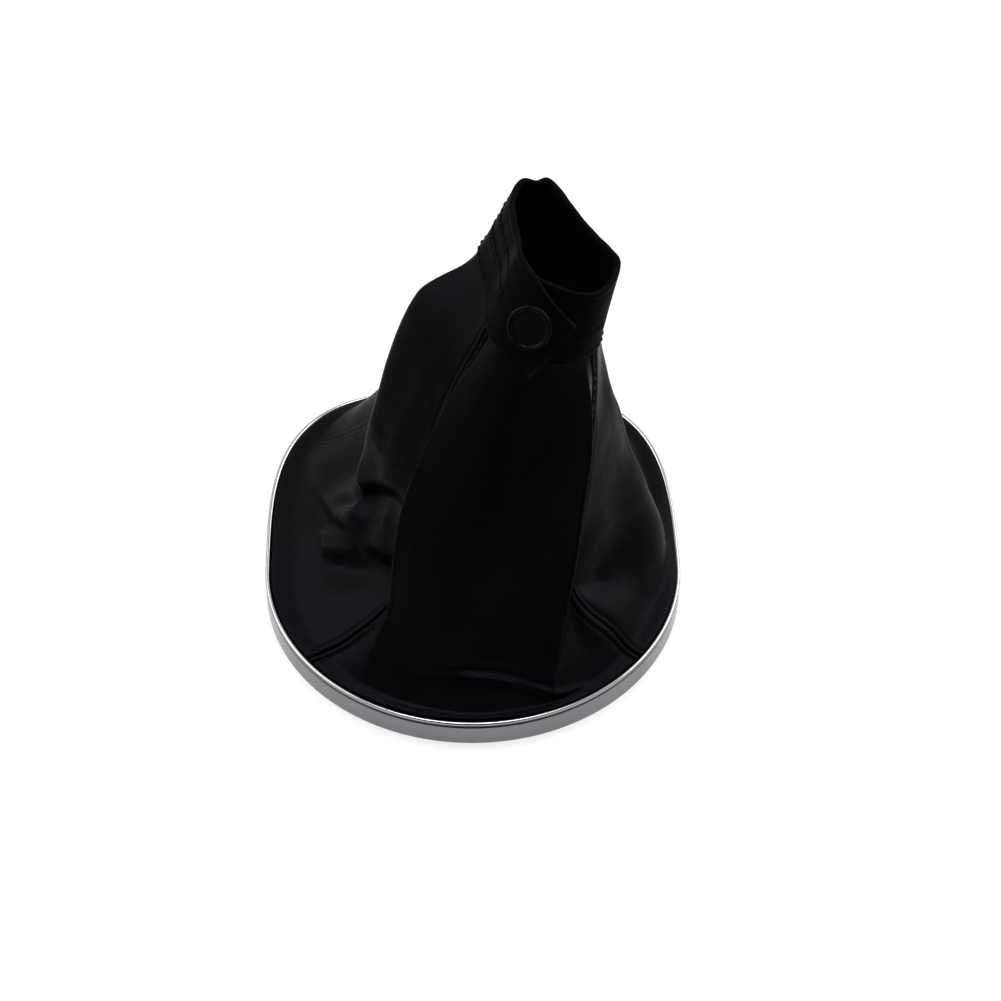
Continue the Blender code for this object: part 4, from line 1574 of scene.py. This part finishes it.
@dataclass
class Collar:
    """The folded band round the neck, which ends as the strap over itself.

    Attributes:
        thickness: The folded band's thickness.
        proud: How far its face stands off the cone between neck and mouth.
        underlap_bearing: Where the band starts, under the strap.
        underlap_tuck: Over how many degrees the start lies tucked in.
        underlap_ramp: Over how many degrees it then comes out.
        strap_end_bearing: Where the strap ends.
        strap_turn_bearing: Where the strap starts to turn down.
        strap_curve: The power by which the strap's turn grows.
        strap_slant: How many degrees the strap's end leans.
        strap_gap: How far in the tucked start lies.
        strap_top_drop: How far the strap's upper corner drops, as a share of the height.
        strap_foot_drop: How far its lower corner drops.
        strap_ramp: Over how many degrees the strap passes to the outer layer.
        columns: Columns of points along the band.
        face_levels: Rows of points up its face.
        tip_lift: How far the strap's end stands off.
        foot_flare: How far the strap's foot stands off.
        lip_rise: How high the cut edge of the strap's end swells.
        lip_degrees: How far that swelling spreads.
        tuck_drop: How far the start's upper edge drops.
        crown_rise: How far the rim rises at the back.
        crown_bearing: Where that is.
        crown_spread: How many degrees it spreads.
        foot_sink: How far the strap's foot sinks.
        tuck_fade: Over how many degrees a tuck fades at its ends.
        rim_steps: Steps over the rolled rim.
        back_levels: Rows of points down its back.
        stitches: The sizes of the stitches.
    """

    thickness: float = 0.0019
    proud: float = 0.0005
    underlap_bearing: float = -138.0
    underlap_tuck: float = 42.0
    underlap_ramp: float = 34.0
    strap_end_bearing: float = -80.0
    strap_turn_bearing: float = -114.0
    strap_curve: float = 1.3
    strap_slant: float = 20.0
    strap_gap: float = 0.0019
    strap_top_drop: float = 0.36
    strap_foot_drop: float = 0.12
    strap_ramp: float = 34.0
    columns: int = 300
    face_levels: int = 64
    tip_lift: float = 0.0018
    foot_flare: float = 0.0006
    lip_rise: float = 0.00045
    lip_degrees: float = 1.6
    tuck_drop: float = 0.13
    crown_rise: float = 0.065
    crown_bearing: float = 96.0
    crown_spread: float = 30.0
    foot_sink: float = 0.05
    tuck_fade: float = 16.0
    rim_steps: int = 8
    back_levels: int = 14
    stitches: Wires = Wires(0.0026, 0.0019, 0.00024, 0.00022, 0.00025, 0.08, 0.07, 9)

    FLAT = (0.163, 0.0195)
    TUCKS = (
        Tuck("lower_welt", 0.49, 100, 238, -0.00042, 0.00028),
        Tuck("lower_pad", 0.40, 96, 236, 0.00012, 0.0009),
        Tuck("upper_welt", 0.73, 96, 230, -0.00042, 0.00028),
        Tuck("upper_pad", 0.64, 96, 232, 0.00012, 0.0009),
        Tuck("rim_welt", 0.90, -120, 274, -0.00012, 0.00035),
        Tuck("right_crease", 0.42, -92, -38, -0.00028, 0.00030),
        Tuck("right_pad", 0.34, -92, -36, 0.00012, 0.0009),
        Tuck("foot_pad", 0.07, -92, 236, 0.00016, 0.0008),
    )

    # Rows of stitches on the face: height as a share, and the bearings of start and end
    TOPSTITCHES = ((0.06, -55, 226), (0.49, 104, 222), (0.73, 104, 214))

    def relief(self, running: np.ndarray, height: float) -> np.ndarray:
        """How far stitched tucks and creases lift the band's face.

        Args:
            running: The bearing along the band.
            height: The share of the way from neck to mouth.

        Returns:
            The lift at each bearing.
        """
        drop = math.dist(MOUTH.centre, NECK.centre)
        lift = np.zeros(len(running))
        for tuck in self.TUCKS:
            ends = ease((running - tuck.start) / self.tuck_fade) * ease((tuck.end - running) / self.tuck_fade)
            lift += tuck.rise * ends * math.exp(-((height - tuck.height) * drop / tuck.width) ** 2)
        strap_end = 360 + self.strap_end_bearing
        return lift + self.lip_rise * np.exp(-((strap_end - running) / self.lip_degrees) ** 2)

    def cone(self, bearing: np.ndarray, height: np.ndarray) -> tuple[Points, Points]:
        """Points of the collar's cone and the outward normals there.

        Args:
            bearing: The bearings.
            height: The shares of the way from neck to mouth.

        Returns:
            The points and the normals.
        """
        small = 2.0
        height = np.asarray(height, float)[..., None]

        def at(turned: np.ndarray) -> Points:
            """Points of the cone at these bearings."""
            base, rim = NECK.points(turned), MOUTH.points(turned)
            return base + (rim - base) * height

        rise = MOUTH.points(bearing) - NECK.points(bearing)
        return at(bearing), unit(np.cross(at(bearing + small) - at(bearing - small), rise))

    def passing_bearing(self) -> float:
        """The bearing along the band at which the strap starts to pass to the outer layer."""
        return 360 + self.underlap_bearing - self.strap_ramp

    def layer(self, bearing: np.ndarray) -> np.ndarray:
        """How far out the band lies: tucked in under the snap, and over itself last."""
        apart = ease((bearing - self.passing_bearing()) / self.strap_ramp)
        tucked = 1 - ease((bearing - self.underlap_bearing - self.underlap_tuck) / self.underlap_ramp)
        return apart * (self.thickness + FIT) - tucked * self.strap_gap

    def strap(self, bearing: np.ndarray) -> np.ndarray:
        """0 on the band, growing evenly to 1 at the end of the strap, which turns down."""
        strap_length = self.strap_end_bearing - self.strap_turn_bearing
        turned = (bearing - (360 + self.strap_turn_bearing)) / strap_length
        return np.maximum(turned, 0.0) ** self.strap_curve

    def section(self) -> list[tuple[float, float]]:
        """The band's closed section.

        Returns:
            Height as a share and depth behind the face, from the face's foot up and over the rolled
            rim, and down the back.
        """
        drop = math.dist(MOUTH.centre, NECK.centre)
        foot = FIT / drop
        rolled = self.thickness / 2 / drop
        section = [(foot + (1 - rolled - foot) * step / self.face_levels, 0.0)
                   for step in range(self.face_levels + 1)]
        for step in range(1, self.rim_steps):
            angle = math.pi * step / self.rim_steps
            depth = self.thickness * (1 - math.cos(angle)) / 2
            section.append((1 - rolled + rolled * math.sin(angle), depth))
        section += [(1 - rolled - (1 - rolled - foot) * step / self.back_levels, self.thickness)
                    for step in range(self.back_levels + 1)]
        return section

    def build(self, wardrobe: Wardrobe, wires: WireRow) -> None:
        """Builds and dresses the band with its stitches.

        Args:
            wardrobe: The finishes.
            wires: The stitch maker.
        """
        running = np.linspace(self.underlap_bearing, 360 + self.strap_end_bearing, self.columns + 1)
        grid, facing = self.surface(running)
        levels, columns = grid.shape[:2]
        ends = [np.arange(levels)[::-1] * columns, np.arange(1, levels + 1) * columns - 1]
        faces = grid_faces(levels, columns, closed_rows=True).tolist() + [end.tolist() for end in ends]
        band = mesh_object("collar_leather", grid.reshape(-1, 3), faces,
                           [wardrobe.of(Wardrobe.COLLAR_LEATHER)], sharp=50)
        store(band.data, Field.RIDGE, np.zeros(levels * columns))
        settle(band, ("collar_band",))
        sewn = running < self.passing_bearing()
        inward = unit(grid[-3] - grid[self.face_levels // 8])
        paths = [(grid[-3][sewn], inward[sewn])]
        for height, start, end in self.TOPSTITCHES:
            row, part = round(height * self.face_levels), (running > start) & (running < end)
            paths.append((grid[row][part], facing[row][part]))
        settle(wires.lay("collar_stitches", paths, self.stitches, wardrobe.of(Wardrobe.THREAD)))

    def surface(self, running: np.ndarray) -> tuple[Points, Points]:
        """The band's whole surface.

        Args:
            running: The bearings along the band.

        Returns:
            The points of its section at each bearing, levels by columns, and the cone's normals there.
        """
        strap, face = self.strap(running), self.proud + self.layer(running)
        tuck = self.tuck_drop * (1 - ease((running - self.underlap_bearing) / self.underlap_tuck))
        crown = self.crown_rise * np.exp(-((running - self.crown_bearing) / self.crown_spread) ** 2)
        sunk = self.foot_sink * ease((running - self.passing_bearing()) / self.strap_ramp)
        rows, facing = [], []
        for height, depth in self.section():
            bearing = running - strap * self.strap_slant * (1 - height)
            drop = strap * (self.strap_foot_drop + (self.strap_top_drop - self.strap_foot_drop) * height)
            drop = drop + height * tuck - height ** 4 * crown + (1 - height) * sunk
            point, normal = self.cone(bearing, height - drop)
            relief = self.relief(running, height) * (depth == 0) + self.tip_lift * strap ** 2
            relief += self.foot_flare * (1 - height) * np.minimum(strap, 1)
            rows.append(point + normal * (face - depth + relief)[:, None])
            facing.append(normal)
        return np.array(rows), np.array(facing)


@dataclass
class PressStud:
    """The press stud's cap, and the finish of its hidden parts.

    Attributes:
        radius: The cap's radius.
        height: The cap's height.
        stem_radius: The radius of the stem through the strap.
        stem_depth: How deep the stem goes.
        stem_flare: How much wider the stem is under the cap.
        stem_neck: How far down that flare reaches.
        bearing: The stud's bearing round the collar.
        share: Its height as a share of the way from neck to mouth.
        sides: How many sides make its round.
    """

    radius: float = 0.0064
    height: float = 0.0021
    stem_radius: float = 0.0014
    stem_depth: float = 0.0016
    stem_flare: float = 1.3
    stem_neck: float = 0.0002
    bearing: float = -106.0
    share: float = 0.44
    sides: int = 72

    # The dished cap with its raised rim, as shares of its radius and height
    CAP = ((0.0, 0.74), (0.40, 0.72), (0.66, 0.66), (0.74, 0.66), (0.79, 0.78), (0.84, 0.95), (0.89, 1.0),
           (0.94, 0.93), (0.98, 0.74), (1.0, 0.48), (0.99, 0.2), (0.96, 0.0))
    HIDDEN_PARTS = ("snap_socket", "snap_stud", "snap_post")

    def build(self, wardrobe: Wardrobe, collar: Collar) -> None:
        """Turns the cap and dresses the stud.

        Args:
            wardrobe: The finishes.
            collar: The band that the stud goes through.
        """
        point, outward = collar.cone(np.array(self.bearing), np.array(self.share))
        lift = collar.proud + float(collar.layer(np.array(360 + self.bearing)))
        origin = point + outward * (lift + FIT)
        side = unit(np.cross(outward, (0, 0, 1)))
        other = np.cross(outward, side)
        profile = [(reach * self.radius, rise * self.height) for reach, rise in self.CAP]
        profile += [(self.stem_radius * self.stem_flare, 0.0), (self.stem_radius, -self.stem_neck),
                    (self.stem_radius, -self.stem_depth), (0.0, -self.stem_depth)]
        angle = (np.arange(self.sides) * 2 * math.pi / self.sides)[:, None]
        around = np.cos(angle) * side + np.sin(angle) * other
        rings = [origin + outward * rise + reach * around for reach, rise in profile[1:-1]]
        poles = [origin + outward * rise for _, rise in (profile[0], profile[-1])]
        faces = grid_faces(len(rings), self.sides, closed_columns=True).tolist()
        count = len(rings) * self.sides
        for pole, first in ((count, 0), (count + 1, count - self.sides)):
            faces += [(pole, first + turn, first + (turn + 1) % self.sides) for turn in range(self.sides)]
        cap = mesh_object("stud_cap", np.concatenate([*rings, poles]), faces,
                          [wardrobe.of(Wardrobe.ENAMEL)], sharp=60)
        turn_outward(cap.data)
        settle(cap, ("snap_cap",))
        for node in self.HIDDEN_PARTS:
            wardrobe.dress_node(node, Wardrobe.STEEL)


def turn_outward(mesh: Mesh) -> None:
    """Points every face of a closed mesh outwards."""
    solid = bmesh.new()
    solid.from_mesh(mesh)
    bmesh.ops.recalc_face_normals(solid, faces=solid.faces)
    solid.to_mesh(mesh)
    solid.free()


@dataclass
class TrimRing:
    """The plated trim ring: a satin wall painted a darker tone as shade, a groove painted black as shade and
    a polished bead.

    Attributes:
        height: The ring's height.
        wall: Its thickness.
        draft: How far its outside leans in.
        bead_width: The bead's width.
        bead_height: The bead's height.
        groove_depth: How deep the shadow groove is.
        groove_height: How high the groove is.
        softening: The radius of its small corners.
        sides: How many sides make its round.
        wall_steps: Steps up the wall.
        bead_steps: Steps over the bead.
        bead_lean: How far the bead's back leans, 1 for an even round.
        bead_fullness: The power that fills the bead's round out, 1 for none.
        bright_steps: The first and last step of the bead that are bright; the others are painted black as
            shade.
    """

    height: float = 0.0092
    wall: float = 0.0022
    draft: float = 0.0003
    bead_width: float = 0.0016
    bead_height: float = 0.0013
    groove_depth: float = 0.0005
    groove_height: float = 0.0008
    softening: float = 0.0001
    sides: int = 360
    wall_steps: int = 7
    bead_steps: int = 20
    bead_lean: float = 1.3
    bead_fullness: float = 0.8
    bright_steps: tuple[int, int] = (3, 20)

    # Tones of the plated metal: the bead's bright one; the wall's darker one, which is painted shade; and
    # black, which is painted shade in the groove and on the bead's outer foot.
    SATIN = (0.20, 0.20, 0.212)
    BRIGHT = (0.38, 0.38, 0.39)
    BLACK = (0.004, 0.004, 0.004)

    def profile(self) -> list[tuple[float, float, Colour]]:
        """The ring's section.

        Returns:
            Inset, height and tone of each point, from the wall's foot up the outside; the darker and black
            tones are painted shade.
        """
        groove_top = self.height - self.bead_height
        groove_floor = groove_top - self.groove_height
        soft = self.softening
        points = [(soft, 0.0, self.SATIN), (0.0, soft, self.SATIN)]
        for step in range(1, self.wall_steps):
            share = step / self.wall_steps
            points.append((self.draft * share, groove_floor * share, self.SATIN))
        # The groove is painted black as shade.
        points += [(self.draft, groove_floor - 2 * soft, self.SATIN),
                   (self.draft + 2 * soft, groove_floor, self.BLACK),
                   (self.groove_depth + soft, groove_floor + soft, self.BLACK),
                   (self.groove_depth + soft, groove_top, self.BLACK)]
        for step in range(self.bead_steps + 1):
            angle = math.pi * step / self.bead_steps
            # The bead's outer foot is painted black as shade.
            tone = self.BRIGHT if self.bright_steps[0] <= step <= self.bright_steps[1] else self.BLACK
            inset = self.bead_width * (0.5 - 0.5 * math.cos(angle)) ** self.bead_lean
            rise = (self.bead_height - soft) * math.sin(angle) ** self.bead_fullness
            points.append((inset + soft / 2, groove_top + soft + rise, tone))
        points += [(self.wall, groove_floor, self.SATIN), (self.wall, 4 * soft, self.SATIN),
                   (self.wall - 4 * soft, 0.0, self.SATIN)]
        return points

    def build(self, wardrobe: Wardrobe) -> None:
        """Sweeps the section round the outline and dresses the ring.

        Args:
            wardrobe: The finishes.
        """
        bearing = np.arange(self.sides) * 360.0 / self.sides
        profile = self.profile()
        rings, tones = [], []
        for inset, height, tone in profile:
            rings.append(RING.level_line(bearing, inset, height))
            tones += [rgba(tone)] * self.sides
        faces = grid_faces(len(profile), self.sides, closed_rows=True, closed_columns=True)
        ring = mesh_object("trim_ring", np.concatenate(rings), faces.tolist(),
                           [wardrobe.of(Wardrobe.PLATING)])
        turn_outward(ring.data)
        # The tones, painted shade among them, go on the mesh for its material.
        store(ring.data, Field.PLATING, np.array(tones), "FLOAT_COLOR")
        settle(ring, ("chrome_ring",))


@dataclass
class HemFrame:
    """The retaining frame's finish, and the staples that hold the hem on it.

    Attributes:
        inset: How far in from the ring's outline the staples lie.
        first_bearing: The bearing of the first staple.
        staples: The sizes of the staples.
    """

    inset: float = LEATHER_INSET + LEATHER + 0.0035
    first_bearing: float = 2.0
    staples: Wires = Wires(0.011, 0.0062, 0.00022, 0.00012, 0.0012, 0.0, 0.16, 9)

    def build(self, wardrobe: Wardrobe, wires: WireRow) -> None:
        """Dresses the frame and lays the staples.

        Args:
            wardrobe: The finishes.
            wires: The staple maker.
        """
        wardrobe.dress_node("base_frame", Wardrobe.PLASTIC)
        bearing = self.first_bearing + np.arange(361.0)
        path = RING.level_line(bearing, self.inset, HEM_LIFT)
        down = np.repeat([[0.0, 0.0, -1.0]], len(bearing), 0)
        staples = wires.lay("hem_staples", [(path, down)], self.staples, wardrobe.of(Wardrobe.STEEL))
        settle(staples)


@dataclass
class Studio:
    """The floor, the soft lamps, the surrounding and the camera of the photograph's view.

    Attributes:
        elevation: How many degrees the camera looks down.
        azimuth: How many degrees it stands round from the front.
        distance: From the camera to its target.
        focal_pixels: The focal length in pixels of the picture.
        frame_pixels: The picture's width in pixels.
        shift_pixels: How far the picture is shifted across and up.
        target: What the camera looks at.
        floor_size: The floor's width.
        floor_colour: The floor's colour under the lamps.
        shadow_colour: How much of the lamps' light and shadow the camera sees on the white floor.
        floor_glow: The floor's own light for the camera and behind the object for gloss.
        floor_fall: Along Y, where gloss sees the floor dark and where light.
        world_light: The surrounding's light on the object.
        world_fall: Along Y, the directions in which gloss sees the surrounding dark and light.
        side_fall: Along X, the same for the sides.
        side_light: The surrounding's light at the sides for gloss.
        front_light: The light at the front for gloss.
    """

    elevation: float = 50.0
    azimuth: float = 1.4
    distance: float = 0.75
    focal_pixels: float = 2595.0
    frame_pixels: float = 1001.0
    shift_pixels: tuple[float, float] = (27.7, -22.6)
    target: tuple[float, float, float] = (0.0, RING.widest_y, 0.05)
    floor_size: float = 8.0
    floor_colour: Colour = (0.8, 0.8, 0.8)
    shadow_colour: Colour = (0.3, 0.3, 0.3)
    floor_glow: float = 0.75
    floor_fall: tuple[float, float] = (-0.40, -0.12)
    world_light: float = 0.25
    world_fall: tuple[float, float] = (0.45, -0.10)
    side_fall: tuple[float, float] = (0.12, 0.60)
    side_light: float = 0.8
    front_light: float = 0.05

    # Round soft lamps: name, place, width and power in watts
    LAMPS = (
        ("left_softbox", (-0.80, 0.30, 0.88), 1.10, 9.0),
        ("right_softbox", (0.85, 0.38, 0.72), 1.10, 11.0),
        ("overhead_softbox", (0.0, 0.25, 1.3), 0.50, 6.0),
    )

    def build(self) -> None:
        """Sets the whole studio up."""
        self.floor()
        self.lamps()
        self.world()
        self.camera()
        bpy.context.scene.view_settings.view_transform = "Standard"

    def seen(self, graph: Graph) -> NodeSocket:
        """1 for rays that show the background: those of the camera, gloss and glass."""
        path = graph.add("ShaderNodeLightPath")
        mirrored = graph.math("MAXIMUM", path.outputs["Is Glossy Ray"], path.outputs["Is Transmission Ray"])
        return graph.math("MAXIMUM", path.outputs["Is Camera Ray"], mirrored)

    def shown(self, graph: Graph, mirrored: NodeSocket, other: float,
              camera: float) -> NodeSocket:
        """A light's strength: as mirrored for gloss, as it is for the camera, and for other rays.

        Args:
            graph: The material's or the world's tree.
            mirrored: The strength for gloss.
            other: The strength for every other ray.
            camera: The strength for the camera.

        Returns:
            The strength.
        """
        path = graph.add("ShaderNodeLightPath")
        gloss = graph.add("ShaderNodeMix", {"Factor": path.outputs["Is Glossy Ray"], "A": other,
                                            "B": mirrored})
        both = graph.add("ShaderNodeMix", {"Factor": path.outputs["Is Camera Ray"],
                                           "A": gloss.outputs["Result"], "B": camera})
        return both.outputs["Result"]

    def floor(self) -> None:
        """A pale floor that stays white round the object's soft shadow."""
        half = self.floor_size / 2
        ground = bpy.data.materials.new("studio_floor")
        ground.use_nodes = True
        graph = Graph(ground.node_tree)
        graph.tree.nodes.remove(graph.tree.nodes["Principled BSDF"])
        plain = graph.add("ShaderNodeBsdfDiffuse", {"Color": rgba(self.floor_colour)})
        faint = graph.add("ShaderNodeBsdfDiffuse", {"Color": rgba(self.shadow_colour)})
        place = graph.add("ShaderNodeSeparateXYZ",
                          {"Vector": graph.add("ShaderNodeTexCoord").outputs["Object"]})
        shown = graph.remap(place.outputs["Y"], *self.floor_fall, self.front_light, self.floor_glow)
        glow = graph.add("ShaderNodeEmission", {"Strength": self.shown(graph, shown, 0.0, self.floor_glow)})
        white = graph.add("ShaderNodeAddShader", {0: faint.outputs[0], 1: glow.outputs[0]})
        mixed = graph.add("ShaderNodeMixShader",
                          {0: self.seen(graph), 1: plain.outputs[0], 2: white.outputs[0]})
        graph.feed(mixed.outputs[0], graph.tree.nodes["Material Output"].inputs["Surface"])
        corners = half * np.array([(-1, -1, 0), (1, -1, 0), (1, 1, 0), (-1, 1, 0)])
        mesh_object("floor", corners, [(0, 1, 2, 3)], [ground])

    def lamps(self) -> None:
        """Large soft lamps that face the object."""
        for name, place, size, power in self.LAMPS:
            data = bpy.data.lights.new(name, "AREA")
            data.shape = "DISK"
            data.size = size
            data.energy = power
            lamp = put(name, data)
            lamp.location = place
            lamp.rotation_euler = (Vector(self.target) - Vector(place)).to_track_quat("-Z", "Y").to_euler()

    def world(self) -> None:
        """A dim even surrounding, white for the camera, and for gloss white but for its dark front."""
        world = bpy.data.worlds.new("studio")
        world.use_nodes = True
        graph = Graph(world.node_tree)
        back = graph.add("ShaderNodeNewGeometry")
        towards = graph.add("ShaderNodeSeparateXYZ", {"Vector": back.outputs["Incoming"]})
        behind = graph.remap(towards.outputs["Y"], *self.world_fall, self.front_light, 1.0)
        sideways = graph.math("ABSOLUTE", towards.outputs["X"])
        aside = graph.remap(sideways, *self.side_fall, 0.0, self.side_light)
        mirrored = graph.math("MAXIMUM", behind, aside)
        strength = self.shown(graph, mirrored, self.world_light, 1.0)
        graph.feed(strength, graph.tree.nodes["Background"].inputs["Strength"])
        graph.tree.nodes["Background"].inputs["Color"].default_value = (1.0, 1.0, 1.0, 1.0)
        bpy.context.scene.world = world

    def camera(self) -> None:
        """The photograph's view."""
        data = bpy.data.cameras.new("photo_view")
        data.sensor_width = 36.0
        data.lens = data.sensor_width * self.focal_pixels / self.frame_pixels
        data.shift_x = self.shift_pixels[0] / self.frame_pixels
        data.shift_y = self.shift_pixels[1] / self.frame_pixels
        data.clip_start, data.clip_end = 0.01, 20.0
        rise, turn = math.radians(self.elevation), math.radians(self.azimuth)
        away = Vector((-math.sin(turn) * math.cos(rise), -math.cos(turn) * math.cos(rise), math.sin(rise)))
        camera = put("photo_view", data)
        camera.location = Vector(self.target) + away * self.distance
        camera.rotation_euler = (math.pi / 2 - rise, 0.0, -turn)
        bpy.context.scene.camera = camera


def main() -> None:
    """Builds every sub-assembly in order."""
    logging.basicConfig(level=logging.INFO, format="%(name)s: %(message)s")
    wardrobe = Wardrobe()
    wires = WireRow()
    collar = Collar()
    TrimRing().build(wardrobe)
    HemFrame().build(wardrobe, wires)
    LeatherBody().build(wardrobe, wires)
    collar.build(wardrobe, wires)
    PressStud().build(wardrobe, collar)
    Studio().build()


if __name__ == "__main__":
    main()
